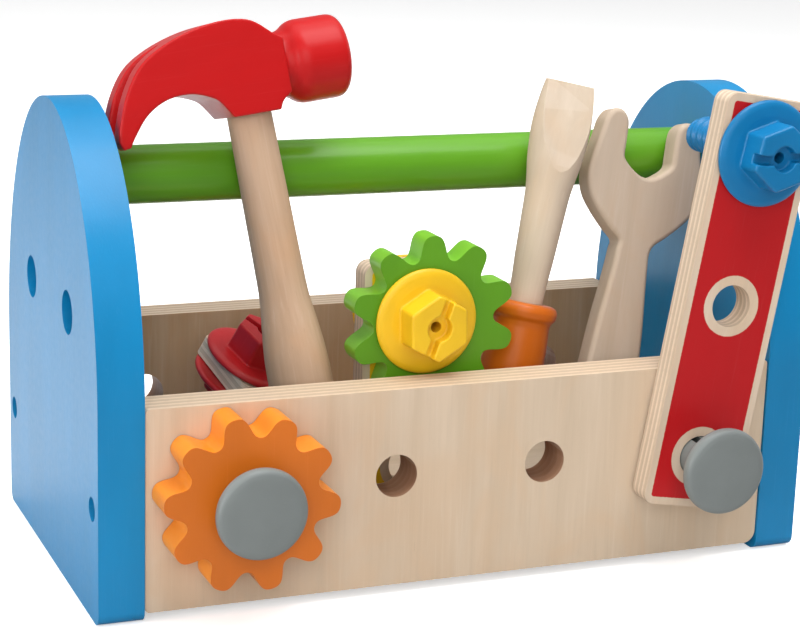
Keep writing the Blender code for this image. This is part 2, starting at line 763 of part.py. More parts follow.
# (half width, height) of the head, from the neck up over the jaw's tip and down into the mouth
WRENCH_HEAD = [
    (7.3, -28.6), (11.4, -25.1), (16.6, -20.1), (20.7, -15.0), (22.6, -10.0), (22.9, -6.0),
    (22.2, -1.0), (21.2, 4.2), (20.1, 8.9), (19.2, 13.2), (16.9, 16.7), (13.4, 17.4),
    (10.7, 15.3), (9.7, 12.0), (9.6, 4.6), (9.3, 0.6), (6.0, -2.6), (1.9, -4.8),
]
# (half width, height) of the handle, downwards
WRENCH_HANDLE = [
    (6.7, -32.0), (7.0, -37.0), (7.9, -46.0), (9.6, -62.0), (11.0, -84.0), (11.3, -104.0),
    (8.6, -116.0), (3.2, -120.0),
]


def handle_axis(z):
    """The sloping x of the wrench handle's middle line at this height."""
    return 1.15 + 0.032 * (z + 34.0)


def wrench():
    tool = leaning("wrench_frame", 82.7, -16.3, back=13.0, right=12.65)
    outline = smooth(
        [(WRENCH_HEAD_X - x, z) for x, z in WRENCH_HEAD]
        + [(WRENCH_HEAD_X + x, z) for x, z in reversed(WRENCH_HEAD)]
        + [(handle_axis(z) + x, z) for x, z in WRENCH_HANDLE]
        + [(handle_axis(z) - x, z) for x, z in reversed(WRENCH_HANDLE)],
        2,
    )
    obj = flat("wrench", [outline], WRENCH_THICK, paint(BEECH, 0.55), 1.6)
    place(obj, (0, WRENCH_FRONT + WRENCH_THICK / 2, 0), (90, 0, 0), tool)


hammer()
screwdriver()
wrench()

# ---------------------------------------------------------------- whole

# The outline runs from the right peg's face to the end panels' back edge, and its middle
# goes to the origin
whole = bpy.data.objects.new("tool_box_frame", None)
parts.objects.link(whole)
place(whole, (0, -(RIGHT_PEG_FACE + HALF_DEPTH) / 2, 0))
for obj in [*parts.objects, *cutters.objects]:
    if obj.parent is None and obj is not whole:
        obj.parent = whole
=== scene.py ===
"""The looks of a wooden toy tool box: a fine mesh and a node material for every CAD piece.

The box is long in x, its front faces -y and it stands on z = 0. A round bar joins its arched
ends. Pegs, gears, drilled strips, bolts and nuts are fitted to it or lie in it, and a hammer,
a screwdriver and a wrench stand in it. Lengths are in millimetres unless a comment says
metres, and MM turns them into metres as they reach Blender. Places are counted from the
middle of the box's footprint.
"""

import json
import math
from contextlib import contextmanager
from functools import cached_property

import bmesh
import bpy
from mathutils import Euler, Matrix, Vector

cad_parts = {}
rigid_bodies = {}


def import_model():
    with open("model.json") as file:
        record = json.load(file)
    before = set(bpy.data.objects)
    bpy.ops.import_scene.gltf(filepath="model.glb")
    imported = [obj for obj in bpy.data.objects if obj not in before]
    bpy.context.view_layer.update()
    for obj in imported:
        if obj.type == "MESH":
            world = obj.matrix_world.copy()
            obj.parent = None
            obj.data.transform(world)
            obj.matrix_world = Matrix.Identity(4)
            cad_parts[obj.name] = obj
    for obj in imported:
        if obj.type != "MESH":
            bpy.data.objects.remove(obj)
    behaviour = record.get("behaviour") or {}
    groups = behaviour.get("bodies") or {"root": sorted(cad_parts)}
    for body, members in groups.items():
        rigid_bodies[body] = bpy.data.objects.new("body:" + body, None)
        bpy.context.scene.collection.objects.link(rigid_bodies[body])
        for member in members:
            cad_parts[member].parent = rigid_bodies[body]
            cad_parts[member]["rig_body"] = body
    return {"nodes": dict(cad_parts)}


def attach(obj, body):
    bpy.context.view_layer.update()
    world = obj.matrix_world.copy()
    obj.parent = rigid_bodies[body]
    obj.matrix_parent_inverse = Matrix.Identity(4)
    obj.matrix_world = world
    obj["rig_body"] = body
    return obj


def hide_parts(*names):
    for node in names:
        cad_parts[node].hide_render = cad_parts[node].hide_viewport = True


for old in list(bpy.data.objects):
    bpy.data.objects.remove(old, do_unlink=True)

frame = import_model()
bpy.context.view_layer.update()

# ---------------------------------------------------------------- sizes and places

MM = 0.001
GAP = 0.3  # between pieces that touch

# box
BOX_LENGTH = 255.0
END_THICK, END_DEPTH = 15.1, 133.0
END_STRAIGHT, END_HEIGHT = 67.0, 159.5  # the arch starts at END_STRAIGHT
END_CORNER = 4.0
BOARD_THICK = 14.8
BOARD_BACK = 0.8  # the boards' outer faces lie this far inside the ends' edges
BOARD_LOW, BOARD_TOP = 3.0, 70.6
BASE_THICK, BASE_TOP = 6.0, 12.1
HALF_DEPTH = END_DEPTH / 2
INNER_X = BOX_LENGTH / 2 - END_THICK
BOARD_MID = -HALF_DEPTH + BOARD_BACK + BOARD_THICK / 2

# round holes
HOLE_RADIUS = 7.3
HOLE_PITCH, HOLE_Z = 54.0, 41.0
BOARD_HOLES = [(step * HOLE_PITCH, HOLE_Z) for step in (-1.5, -0.5, 0.5, 1.5)]
LEFT_HOLE, RIGHT_HOLE = BOARD_HOLES[0], BOARD_HOLES[-1]
END_HOLE_Y, END_HOLE_Z = 26.5, 93.5
RIGHT_HOLES_BACK = 3.5  # the right end's holes are shifted back

# bar and screws
BAR_RADIUS, BAR_Z = 9.9, 132.75
BAR_IN_END = 7.4
SCREW_Y, SCREW_Z = 58.5, 37.2
SCREW_SUNK = 2.2

# pegs
PEG_RADIUS, PEG_LENGTH, PEG_SLOT = 7.0, 36.0, 3.0
PEG_HEAD_RADIUS, PEG_HEAD = 14.9, 5.0

# bolts and nuts
FLANGE_RADIUS, FLANGE = 18.2, 2.9
HEX_ACROSS, HEX_HIGH, NUT_HIGH = 20.0, 10.4, 6.0
HEX_INSET = 1.6  # from the flange's or nut's datum face to the hexagon's buried end
HEX_SLOT, HEX_SLOT_DEEP = 3.3, 3.8
CORE_RADIUS, RIDGE, PITCH, SHANK = 5.3, 1.2, 4.0, 41.8
THREAD_CLEAR = 0.5
BOLT_GAP = 0.2

# drilled ply pieces
PLY = 8.9
STRIP_WIDE, STRIP_PITCH = 36.0, 53.4
PLATE_WIDE, PLATE_LONG, PLATE_THICK = 26.0, 30.0, 6.8

# gears
GEAR_TEETH = 10
ORANGE_THICK, GREEN_THICK = 14.2, 10.4

# y of front faces
LEFT_PEG_FACE, RIGHT_PEG_FACE = -91.1, -95.1
ORANGE_FACE, GREEN_FACE = -80.3, -44.0
RED_STRIP_FACE = -75.65
YELLOW_FACE = GREEN_FACE + GREEN_THICK + GAP

# (x, z) of pieces that face the front
GREEN_GEAR_AT = (-6.1, 86.46)
YELLOW_STRIP_AT = (-9.4, 87.05)
YELLOW_BOLT_AT = (-9.57, 87.5)
RED_STRIP_LEAN = 9.36  # degrees
BLUE_BOLT_SHIFT = (-0.3, -0.4)  # from the red strip's top hole

WRENCH_THICK, WRENCH_FRONT = 9.6, -5.75

# puts the middle of the depth, from the right peg's head to the back of the ends, at y = 0
CENTRING = Matrix.Translation((0, -(RIGHT_PEG_FACE + HALF_DEPTH) / 2 * MM, 0))

# ---------------------------------------------------------------- mesh helpers

work = bpy.data.collections.new("work")
bpy.context.scene.collection.children.link(work)
shown = bpy.data.collections.new("toy_tool_box")
bpy.context.scene.collection.children.link(shown)


@contextmanager
def editing(mesh):
    bm = bmesh.new()
    bm.from_mesh(mesh)
    yield bm
    bm.to_mesh(mesh)
    bm.free()


def from_mesh(name, mesh):
    obj = bpy.data.objects.new(name, mesh)
    work.objects.link(obj)
    return obj


def from_faces(name, verts, faces):
    mesh = bpy.data.meshes.new(name)
    mesh.from_pydata([[c * MM for c in vert] for vert in verts], [], faces)
    return from_mesh(name, mesh)


def placed(at=(0, 0, 0), turn=(0, 0, 0)):
    """The matrix of a place in millimetres and an XYZ turn in degrees."""
    rotation = Euler([math.radians(angle) for angle in turn], "XYZ").to_matrix().to_4x4()
    return Matrix.Translation([v * MM for v in at]) @ rotation


def facing_front(at, y, lean=0):
    """Turns a piece's own z to -y and its y to up, at (x, z); lean tips its top to the right."""
    return placed((at[0], y, at[1]), (90, lean, 0))


def set_place(obj, at=(0, 0, 0), turn=(0, 0, 0)):
    obj.matrix_world = placed(at, turn)
    return obj


def baked(obj):
    """Applies the modifiers, so that the next step starts from a plain mesh."""
    bpy.context.view_layer.update()
    graph = bpy.context.evaluated_depsgraph_get()
    mesh = bpy.data.meshes.new_from_object(obj.evaluated_get(graph))
    old = obj.data
    obj.modifiers.clear()
    obj.data = mesh
    if old.users == 0:
        bpy.data.meshes.remove(old)
    return obj


def circle(radius, at=(0.0, 0.0), count=96, start=0.0):
    angles = [start + 2 * math.pi * i / count for i in range(count)]
    return [(at[0] + radius * math.cos(a), at[1] + radius * math.sin(a)) for a in angles]


def quarter(x, y, radius, start, steps):
    """A quarter circle about (x, y), anticlockwise from the start in degrees."""
    angles = [math.radians(start + 90 * i / steps) for i in range(steps + 1)]
    return [(x + radius * math.cos(a), y + radius * math.sin(a)) for a in angles]


def rounded_rectangle(left, low, right, high, radius, low_right=None):
    """An outline whose lower right corner may have a radius of its own."""
    first = radius if low_right is None else low_right
    return (
        quarter(right - first, low + first, first, -90, 14)
        + quarter(right - radius, high - radius, radius, 0, 14)
        + quarter(left + radius, high - radius, radius, 90, 14)
        + quarter(left + radius, low + radius, radius, 180, 14)
    )


def cut_out(name, outlines, thick):
    """A flat plate about z = 0: the first outline is its edge, the others are holes in it."""
    curve = bpy.data.curves.new(name, "CURVE")
    curve.dimensions = "2D"
    curve.fill_mode = "BOTH"
    curve.extrude = thick / 2 * MM
    for outline in outlines:
        spline = curve.splines.new("POLY")
        spline.points.add(len(outline) - 1)
        for point, (x, y) in zip(spline.points, outline):
            point.co = (x * MM, y * MM, 0.0, 1.0)
        spline.use_cyclic_u = True
    temp = bpy.data.objects.new(name + "_curve", curve)
    work.objects.link(temp)
    bpy.context.view_layer.update()
    graph = bpy.context.evaluated_depsgraph_get()
    mesh = bpy.data.meshes.new_from_object(temp.evaluated_get(graph))
    with editing(mesh) as bm:
        bmesh.ops.remove_doubles(bm, verts=bm.verts, dist=1e-6)
        if len(outlines) == 1:
            bmesh.ops.dissolve_limit(
                bm,
                angle_limit=math.radians(0.5),
                verts=bm.verts,
                edges=bm.edges,
                use_dissolve_boundaries=False,
            )
        bmesh.ops.recalc_face_normals(bm, faces=bm.faces)
    bpy.data.objects.remove(temp, do_unlink=True)
    return from_mesh(name, mesh)


def bevel(obj, width, segments=4, angle=40.0):
    mod = obj.modifiers.new("edges", "BEVEL")
    mod.width = width * MM
    mod.segments = segments
    mod.limit_method = "ANGLE"
    mod.angle_limit = math.radians(angle)
    mod.use_clamp_overlap = True
    return baked(obj)


def flat(name, outlines, thick, edge, segments=4):
    return bevel(cut_out(name, outlines, thick), edge, segments)


def boolean(obj, other, operation="DIFFERENCE"):
    """Combines the two and removes the other."""
    mod = obj.modifiers.new("cut", "BOOLEAN")
    mod.operation = operation
    mod.solver = "EXACT"
    mod.object = other
    baked(obj)
    bpy.data.objects.remove(other, do_unlink=True)


def smooth(points, steps, closed=False):
    """A Catmull-Rom curve through the points."""
    made = []
    count = len(points)
    for i in range(count if closed else count - 1):
        before, start, end, after = [
            Vector(points[(i + k) % count] if closed else points[min(max(i + k, 0), count - 1)])
            for k in (-1, 0, 1, 2)
        ]
        for j in range(steps):
            t = j / steps
            point = 0.5 * (
                2 * start
                + (end - before) * t
                + (2 * before - 5 * start + 4 * end - after) * t * t
                + (3 * start - before - 3 * end + after) * t * t * t
            )
            made.append(tuple(point))
    if not closed:
        made.append(tuple(points[-1]))
    return made


def soft_profile(points, radius=0.8, steps=4):
    """Rounds each inner corner of a (radius, height) profile with an arc-like curve."""
    made = [points[0]]
    for before, here, after in zip(points, points[1:], points[2:]):
        corner = Vector(here)
        back, ahead = Vector(before) - corner, Vector(after) - corner
        cut = min(radius, back.length * 0.45, ahead.length * 0.45)
        short = back.length < 1e-6 or ahead.length < 1e-6
        if short or abs(back.angle(ahead) - math.pi) < 0.12:
            made.append(here)
            continue
        first, last = corner + back.normalized() * cut, corner + ahead.normalized() * cut
        for i in range(steps + 1):
            t = i / steps
            made.append(tuple((1 - t) * (1 - t) * first + 2 * t * (1 - t) * corner + t * t * last))
    made.append(points[-1])
    return made


def turned(name, profile, steps=96):
    """A solid turned about z from (radius, height) points, first and last on the axis."""
    verts, faces, rings = [], [], []
    for radius, z in profile:
        if radius < 1e-6:
            rings.append([len(verts)])
            verts.append((0.0, 0.0, z))
        else:
            rings.append(list(range(len(verts), len(verts) + steps)))
            verts += [(x, y, z) for x, y in circle(radius, count=steps)]
    for one, two in zip(rings, rings[1:]):
        for k in range(steps):
            n = (k + 1) % steps
            if len(one) == 1:
                faces.append((one[0], two[k], two[n]))
            elif len(two) == 1:
                faces.append((one[k], two[0], one[n]))
            else:
                faces.append((one[k], two[k], two[n], one[n]))
    obj = from_faces(name, verts, faces)
    with editing(obj.data) as bm:
        bmesh.ops.recalc_face_normals(bm, faces=bm.faces)
    return obj


def box_tool(size):
    x, y, z = (s / 2 for s in size)
    verts = [(a, b, c) for a in (-x, x) for b in (-y, y) for c in (-z, z)]
    faces = [(0, 1, 3, 2), (4, 6, 7, 5), (0, 4, 5, 1), (2, 3, 7, 6), (0, 2, 6, 4), (1, 5, 7, 3)]
    return from_faces("tool", verts, faces)


def rod_tool(radius, length, at=(0, 0, 0), turn=(0, 0, 0), count=48):
    half = length / 2
    rod = turned("tool", [(0, half), (radius, half), (radius, -half), (0, -half)], count)
    return set_place(rod, at, turn)


def cast(obj, voxel, passes):
    """One skin round everything in obj, its corners softened as by sanding and paint."""
    skin = obj.modifiers.new("skin", "REMESH")
    skin.mode = "VOXEL"
    skin.voxel_size = voxel * MM
    skin.use_smooth_shade = True
    soft = obj.modifiers.new("soft", "SMOOTH")
    soft.factor = 0.5
    soft.iterations = passes
    baked(obj)


def join(target, *others):
    """Adds the others' meshes to the target's, in the target's coordinates."""
    with editing(target.data) as bm:
        for other in others:
            mesh = other.data.copy()
            mesh.transform(target.matrix_world.inverted() @ other.matrix_world)
            bm.from_mesh(mesh)
            bpy.data.meshes.remove(mesh)
            bpy.data.objects.remove(other, do_unlink=True)


def finish(obj, node, material, matrix, sharp=38.0, weighted=True):
    """Shades the piece, gives it its material, places it and stands it in for its CAD node."""
    with editing(obj.data) as bm:
        bmesh.ops.remove_doubles(bm, verts=bm.verts, dist=2e-7)
        loose = [v for v in bm.verts if not v.link_faces]
        bmesh.ops.delete(bm, geom=loose, context="VERTS")
    obj.data.polygons.foreach_set("use_smooth", [True] * len(obj.data.polygons))
    obj.data.set_sharp_from_angle(angle=math.radians(sharp))
    if weighted:
        mod = obj.modifiers.new("normals", "WEIGHTED_NORMAL")
        mod.keep_sharp = True
        mod.weight = 100
        baked(obj)
    obj.name = node + "_finished"
    obj.data.name = node + "_finished"
    obj.data.materials.clear()
    obj.data.materials.append(material)
    # each point keeps its place in the piece's own frame, for the grain and the painted areas
    own = obj.data.attributes.new("own_place", "FLOAT_VECTOR", "POINT")
    own.data.foreach_set("vector", [c for v in obj.data.vertices for c in v.co])
    obj.matrix_world = Matrix.Identity(4)
    obj.data.transform(CENTRING @ matrix)
    for home in list(obj.users_collection):
        home.objects.unlink(obj)
    shown.objects.link(obj)
    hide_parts(node)
    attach(obj, frame["nodes"][node]["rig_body"])


# ---------------------------------------------------------------- node helpers


class Value:
    """A node's output socket. Arithmetic on it adds Math nodes."""

    def __init__(self, nodes, socket):
        self.nodes = nodes
        self.socket = socket

    def __add__(self, other):
        return self.nodes.math("ADD", self, other)

    def __sub__(self, other):
        return self.nodes.math("SUBTRACT", self, other)

    def __rsub__(self, other):
        return self.nodes.math("SUBTRACT", other, self)

    def __mul__(self, other):
        return self.nodes.math("MULTIPLY", self, other)

    def __abs__(self):
        return self.nodes.math("ABSOLUTE", self)


class Nodes:
    """A node tree, written as expressions."""

    def __init__(self, tree):
        self.tree = tree

    def link(self, value, socket):
        if isinstance(value, Value):
            self.tree.links.new(value.socket, socket)
        elif isinstance(value, tuple) and len(value) == 3 and len(socket.default_value) == 4:
            socket.default_value = (*value, 1.0)
        else:
            socket.default_value = value

    def add(self, kind, inputs=None, outputs=(0,), **settings):
        """A new node's output, or a list of them if more than one is asked for."""
        node = self.tree.nodes.new("ShaderNode" + kind)
        for name, setting in settings.items():
            setattr(node, name, setting)
        for key, value in (inputs or {}).items():
            self.link(value, node.inputs[key])
        values = [Value(self, node.outputs[key]) for key in outputs]
        return values if len(values) > 1 else values[0]

    def math(self, operation, *values):
        return self.add("Math", dict(enumerate(values)), operation=operation)

    def length(self, x, y):
        return self.math("SQRT", x * x + y * y)

    def split(self, vector):
        return self.add("SeparateXYZ", {0: vector}, (0, 1, 2))

    def scaled(self, vector, scale, shift=(0.0, 0.0, 0.0)):
        return self.add("Mapping", {"Vector": vector, "Scale": scale, "Location": shift})

    def noise(self, vector, scale=1.0, detail=3.0, rough=0.6, distortion=0.0):
        inputs = {
            "Vector": vector,
            "Scale": scale,
            "Detail": detail,
            "Roughness": rough,
            "Distortion": distortion,
        }
        return self.add("TexNoise", inputs)

    def streaks(self, vector, grain, across, along, **noise):
        """Noise with one scale along the grain's axis and another across it."""
        return self.noise(self.scaled(vector, grain_scale(grain, across, along)), **noise)

    def ramp(self, factor, *stops):
        """A colour ramp through (position, colour or grey) stops."""
        node = self.tree.nodes.new("ShaderNodeValToRGB")
        self.link(factor, node.inputs[0])
        elements = node.color_ramp.elements
        while len(elements) < len(stops):
            elements.new(1.0)
        for element, (at, colour) in zip(elements, stops):
            element.position = at
            if isinstance(colour, (int, float)):
                colour = (colour, colour, colour)
            element.color = (*colour, 1.0)
        return Value(self, node.outputs[0])

    def mix(self, factor, first, second):
        return self.add("Mix", {0: factor, 6: first, 7: second}, (2,), data_type="RGBA")

    def lay(self, base, colour, mask, amount):
        """Lays the colour over the base where the mask is, by this amount."""
        return self.mix(mask * amount, base, colour)

    def step(self, value, start, end, top=1.0):
        """0 at the start, top at the end, smooth between. The start may be the higher."""
        inputs = {0: value, 1: start, 2: end, 4: top}
        return self.add("MapRange", inputs, interpolation_type="SMOOTHSTEP")

    def bump(self, height, strength, distance, normal=None):
        inputs = {"Strength": strength, "Distance": distance, "Height": height}
        if normal is not None:
            inputs["Normal"] = normal
        return self.add("Bump", inputs)


class Shader(Nodes):
    """A material's nodes. Their lengths are in metres."""

    def __init__(self, name):
        self.material = bpy.data.materials.new(name)
        self.material.use_nodes = True
        super().__init__(self.material.node_tree)
        self.bsdf = self.tree.nodes["Principled BSDF"]

    @cached_property
    def place(self):
        return self.add("Attribute", outputs=("Vector",), attribute_name="own_place")

    def shifted(self, seed):
        """The place moved by the seed, so that each material has its own pattern."""
        return self.scaled(self.place, (1, 1, 1), (seed, seed * 0.7, seed * 1.3))

    def edges(self):
        """Where the surface turns outwards sharply."""
        pointiness = self.add("NewGeometry", outputs=("Pointiness",))
        return self.step(pointiness, start=0.515, end=0.56)

    def face_mask(self, thick):
        """1 on a flat piece's two faces, 0 on its cut edges."""
        z = self.split(self.place)[2]
        return self.step(abs(z), start=(thick / 2 - 0.32) * MM, end=(thick / 2 - 0.10) * MM)

    def centre_distance(self, x, y, centre):
        return self.length(x - centre[0] * MM, y - centre[1] * MM)

    def done(self, colour, rough, normal=None, coat=0.0, coat_rough=0.1, specular=0.5):
        inputs = {
            "Base Color": colour,
            "Roughness": rough,
            "Coat Weight": coat,
            "Coat Roughness": coat_rough,
            "Specular IOR Level": specular,
        }
        if normal is not None:
            inputs["Normal"] = normal
        for name, value in inputs.items():
            self.link(value, self.bsdf.inputs[name])
        return self.material


def grain_scale(grain, across, along):
    return tuple(along if axis == grain else across for axis in range(3))


def tint(colour, share):
    """The colour made lighter by this share, or darker if it's below 0."""
    if share >= 0:
        return tuple(c + (1 - c) * share for c in colour)
    return tuple(c * (1 + share) for c in colour)


def deeper(colour, share):
    """The colour made stronger by this share, keeping its hue."""
    return tuple(min(c * (1 + share), 1.0) for c in colour)


# ---------------------------------------------------------------- materials
# grain is the axis the fibres follow: 0, 1 or 2 for the piece's own x, y or z


def paint(
    name, colour, rough, grain, seed, coat=0.0, fibres=0.10, worn=0.5, specular=0.5,
    face=None, sides=None, recess_shade=None,
):
    """Paint over sanded wood: faint raised fibres, cloudy thickness, thin paint on the edges.

    A flat piece gives its thickness as face, to keep wear off its faces, and may have painted
    light: a lighter copy of the paint on its cut edges. Hollows may get painted shade.
    another colour on its sides. Hollows may have a recess colour.
    """
    nodes = Shader(name)
    place = nodes.shifted(seed)
    cloud = nodes.streaks(place, grain, across=38, along=9, rough=0.5)
    fibre = nodes.streaks(place, grain, across=1500, along=45)
    speck = nodes.noise(place, scale=420.0, detail=2.0, rough=0.5)

    def clouded(thin, full):
        return nodes.mix(nodes.ramp(cloud, (0.35, 0.0), (0.7, 1.0)), thin, full)

    light = tint(deeper(colour, 0.12), 0.03)
    base = clouded(deeper(colour, -0.10), deeper(colour, 0.05))
    base = nodes.lay(base, light, nodes.step(fibre, start=0.55, end=0.8), amount=0.22)
    off_face = 1.0 - nodes.face_mask(face) if face else 1.0
    # painted light: the cut edges get a lighter copy of the paint, as if lit from the side
    if sides:
        base = nodes.mix(off_face, base, clouded(deeper(sides, -0.06), sides))
    # painted shade: a darker colour where ambient occlusion finds a hollow, such as a bolt's slot
    if recess_shade:
        recess_occlusion = nodes.add("AmbientOcclusion", {"Distance": 0.0035}, ("AO",), samples=6)
        base = nodes.mix(nodes.step(recess_occlusion, start=0.62, end=0.22), base, recess_shade)
    patches = nodes.noise(place, scale=130.0)
    wear = nodes.edges() * nodes.step(patches, start=0.45, end=0.75) * off_face
    base = nodes.lay(base, light, wear, amount=worn)
    roughness = speck * 0.10 + (fibre * 0.08 + (rough - 0.09))
    normal = nodes.bump(fibre * 0.7 + speck * 0.3, strength=fibres, distance=0.0003)
    return nodes.done(base, roughness, normal, coat, coat_rough=0.12, specular=specular)


def bolt_paint(name, colour, rough, seed, recess_shade):
    return paint(name, colour, rough, grain=2, seed=seed, fibres=0.05, worn=0.3, recess_shade=recess_shade)


def wood_colour(nodes, place, colour, grain, streak):
    """Broad bands, a warm figure, fine fibres and short dark pores along the grain."""
    band = nodes.streaks(place, grain, across=95, along=7, rough=0.55, distortion=0.6)
    fibre = nodes.streaks(place, grain, across=900, along=26, detail=4.0)
    pore = nodes.streaks(place, grain, across=1900, along=130, detail=2.0, rough=0.5)
    figure = nodes.streaks(place, grain, across=34, along=15, distortion=1.4)
    bands = nodes.ramp(band, (0.3, 0.0), (0.72, 1.0))
    base = nodes.mix(bands, tint(colour, -0.07 - 0.10 * streak), tint(colour, 0.07))
    warm = (colour[0] * 0.99, colour[1] * 0.91, colour[2] * 0.84)
    base = nodes.lay(base, warm, nodes.step(figure, start=0.42, end=0.68), amount=0.55)
    dark_fibre = nodes.step(fibre, start=0.5, end=0.78)
    base = nodes.lay(base, tint(colour, -0.32), dark_fibre, amount=0.30 * streak)
    pale_fibre = nodes.step(fibre, start=0.46, end=0.25)
    base = nodes.lay(base, tint(colour, 0.22), pale_fibre, amount=0.25)
    pores = nodes.step(pore, start=0.66, end=0.8)
    return nodes.lay(base, tint(colour, -0.5), pores, amount=0.34 * streak)


def bare_wood(name, colour, grain, seed, streak, knots=False, face=None):
    """Sanded bare wood. A flat piece gives its thickness as face, to keep wear off its faces."""
    nodes = Shader(name)
    place = nodes.shifted(seed)
    base = wood_colour(nodes, place, colour, grain, streak)
    fibre = nodes.streaks(place, grain, across=1300, along=50, detail=4.0)
    if knots:
        cells = nodes.scaled(place, grain_scale(grain, across=95, along=60))
        inputs = {"Vector": cells, "Scale": 1.0, "Randomness": 1.0}
        spots = nodes.add("TexVoronoi", inputs, ("Distance",))
        knot = nodes.step(spots, start=0.075, end=0.02)
        base = nodes.lay(base, tint(colour, -0.55), knot, amount=0.5)
    wear = nodes.edges() * 0.25
    if face:
        wear = wear * (1.0 - nodes.face_mask(face))
    base = nodes.mix(wear, base, tint(colour, 0.25))
    normal = nodes.bump(fibre, strength=0.12, distance=0.0003)
    return nodes.done(base, fibre * 0.12 + 0.54, normal, coat_rough=0.2, specular=0.35)


def ply_layers(nodes, thick, count, colour, seed):
    """A cut ply edge's colour and relief: layers across it, with thin dark glue lines."""
    z = nodes.split(nodes.place)[2]
    waves = nodes.scaled(nodes.place, (22, 22, 22), (seed, 0, 0))
    wander = nodes.noise(waves, detail=2.0, rough=0.5)
    deep = z + (wander - 0.5) * 0.0009
    # a pair of layers in each cycle; the whole turns in the offset keep it above 0
    layer = nodes.math("FRACT", deep * (count / 2 / (thick * MM)) + 8.25)
    cut = nodes.ramp(
        layer,
        (0.0, tint(colour, 0.10)),
        (0.42, tint(colour, 0.06)),
        (0.46, tint(colour, -0.32)),
        (0.50, tint(colour, -0.16)),
        (0.90, tint(colour, -0.20)),
        (0.94, tint(colour, -0.36)),
        (1.0, tint(colour, 0.04)),
    )
    relief = nodes.ramp(
        layer, (0.4, 1.0), (0.46, 0.2), (0.52, 0.8), (0.9, 0.8), (0.94, 0.2), (1.0, 1.0)
    )
    fuzz = nodes.noise(nodes.scaled(nodes.place, (700, 700, 700)))
    fuzzy = nodes.step(fuzz, start=0.45, end=0.8)
    return nodes.lay(cut, tint(colour, -0.28), fuzzy, amount=0.35), relief


def ply_board(name, colour, edge_colour, thick, count, grain, seed, holes=()):
    """A bare ply board: veneer faces, layered edges, and darker walls in its holes."""
    nodes = Shader(name)
    place = nodes.shifted(seed)
    face = wood_colour(nodes, place, colour, grain, streak=0.48)
    cut, relief = ply_layers(nodes, thick, count, edge_colour, seed)
    is_face = nodes.face_mask(thick)
    base = nodes.mix(is_face, cut, face)
    if holes:
        near = wall_distance(nodes, holes)
        wall = nodes.step(near, start=0.0011, end=0.0003) * (1.0 - is_face)
        base = nodes.lay(base, (0.340, 0.160, 0.085), wall, amount=0.80)
    worn = nodes.edges() * 0.2 * (1.0 - is_face)
    base = nodes.mix(worn, base, tint(colour, 0.3))
    fibre = nodes.streaks(place, grain, across=1300, along=50, detail=4.0)
    height = nodes.mix(is_face, relief, fibre)
    normal = nodes.bump(height, strength=0.14, distance=0.0003)
    return nodes.done(base, fibre * 0.12 + 0.5, normal, coat_rough=0.2, specular=0.35)


def wall_distance(nodes, holes):
    """The distance to the nearest hole's wall."""
    x, y, _ = nodes.split(nodes.place)
    nearest = None
    for hole in holes:
        gap = abs(nodes.centre_distance(x, y, hole) - HOLE_RADIUS * MM)
        nearest = gap if nearest is None else nodes.math("MINIMUM", nearest, gap)
    return nearest


def painted_ply(name, colour, thick, count, rectangle, holes, seed, margin=2.6, ring=10.6):
    """Paint on a ply piece's faces, inside a bare margin and bare rings round its holes."""
    nodes = Shader(name)
    left, low, right, high = (v * MM for v in rectangle)
    x, y, _ = nodes.split(nodes.place)
    half_x, half_y = (right - left) / 2 - margin * MM, (high - low) / 2 - margin * MM
    corner = 1.2 * MM
    # the signed distance to the painted area's rounded edge, above 0 on bare wood
    beyond_x = abs(x - (left + right) / 2) - (half_x - corner)
    beyond_y = abs(y - (low + high) / 2) - (half_y - corner)
    outside = nodes.length(
        nodes.math("MAXIMUM", beyond_x, 0.0), nodes.math("MAXIMUM", beyond_y, 0.0)
    )
    inside = nodes.math("MINIMUM", nodes.math("MAXIMUM", beyond_x, beyond_y), 0.0)
    distance = outside + inside - corner
    for hole in holes:
        in_ring = ring * MM - nodes.centre_distance(x, y, hole)
        distance = nodes.math("MAXIMUM", distance, in_ring)
    wobble = (nodes.noise(nodes.place, scale=900.0, detail=2.0, rough=0.5) - 0.5) * 0.00028
    distance = distance + wobble
    is_face = nodes.face_mask(thick)
    painted = nodes.step(distance, start=0.00012, end=-0.00012) * is_face

    place = nodes.shifted(seed)
    face = wood_colour(nodes, place, PLY_BARE, 1, streak=0.5)
    cut, relief = ply_layers(nodes, thick, count, PLY_BARE, seed)
    fibre = nodes.streaks(place, 1, across=1400, along=45)
    cloud = nodes.streaks(place, 1, across=60, along=12, rough=0.5)
    coat = nodes.mix(cloud, deeper(colour, -0.12), deeper(colour, 0.06))
    raised = nodes.step(fibre, start=0.58, end=0.8)
    coat = nodes.lay(coat, tint(colour, 0.05), raised, amount=0.18)
    base = nodes.mix(painted, nodes.mix(is_face, cut, face), coat)
    height = nodes.mix(is_face, relief, fibre)
    paint_edge = nodes.bump(painted, strength=0.25, distance=0.0001)
    normal = nodes.bump(height, strength=0.10, distance=0.0003, normal=paint_edge)
    roughness = painted * -0.22 + (fibre * 0.1 + 0.52)
    return nodes.done(base, roughness, normal, coat_rough=0.15, specular=0.28)


def brushed_metal(name):
    nodes = Shader(name)
    scratch = nodes.noise(nodes.scaled(nodes.place, (900, 900, 5000)))
    dirt = nodes.step(nodes.noise(nodes.place, scale=500.0), start=0.5, end=0.8)
    base = nodes.mix(dirt, (0.52, 0.53, 0.54), (0.25, 0.25, 0.26))
    normal = nodes.bump(scratch, strength=0.15, distance=0.0001)
    nodes.bsdf.inputs["Metallic"].default_value = 0.95
    return nodes.done(base, scratch * 0.25 + 0.22, normal)


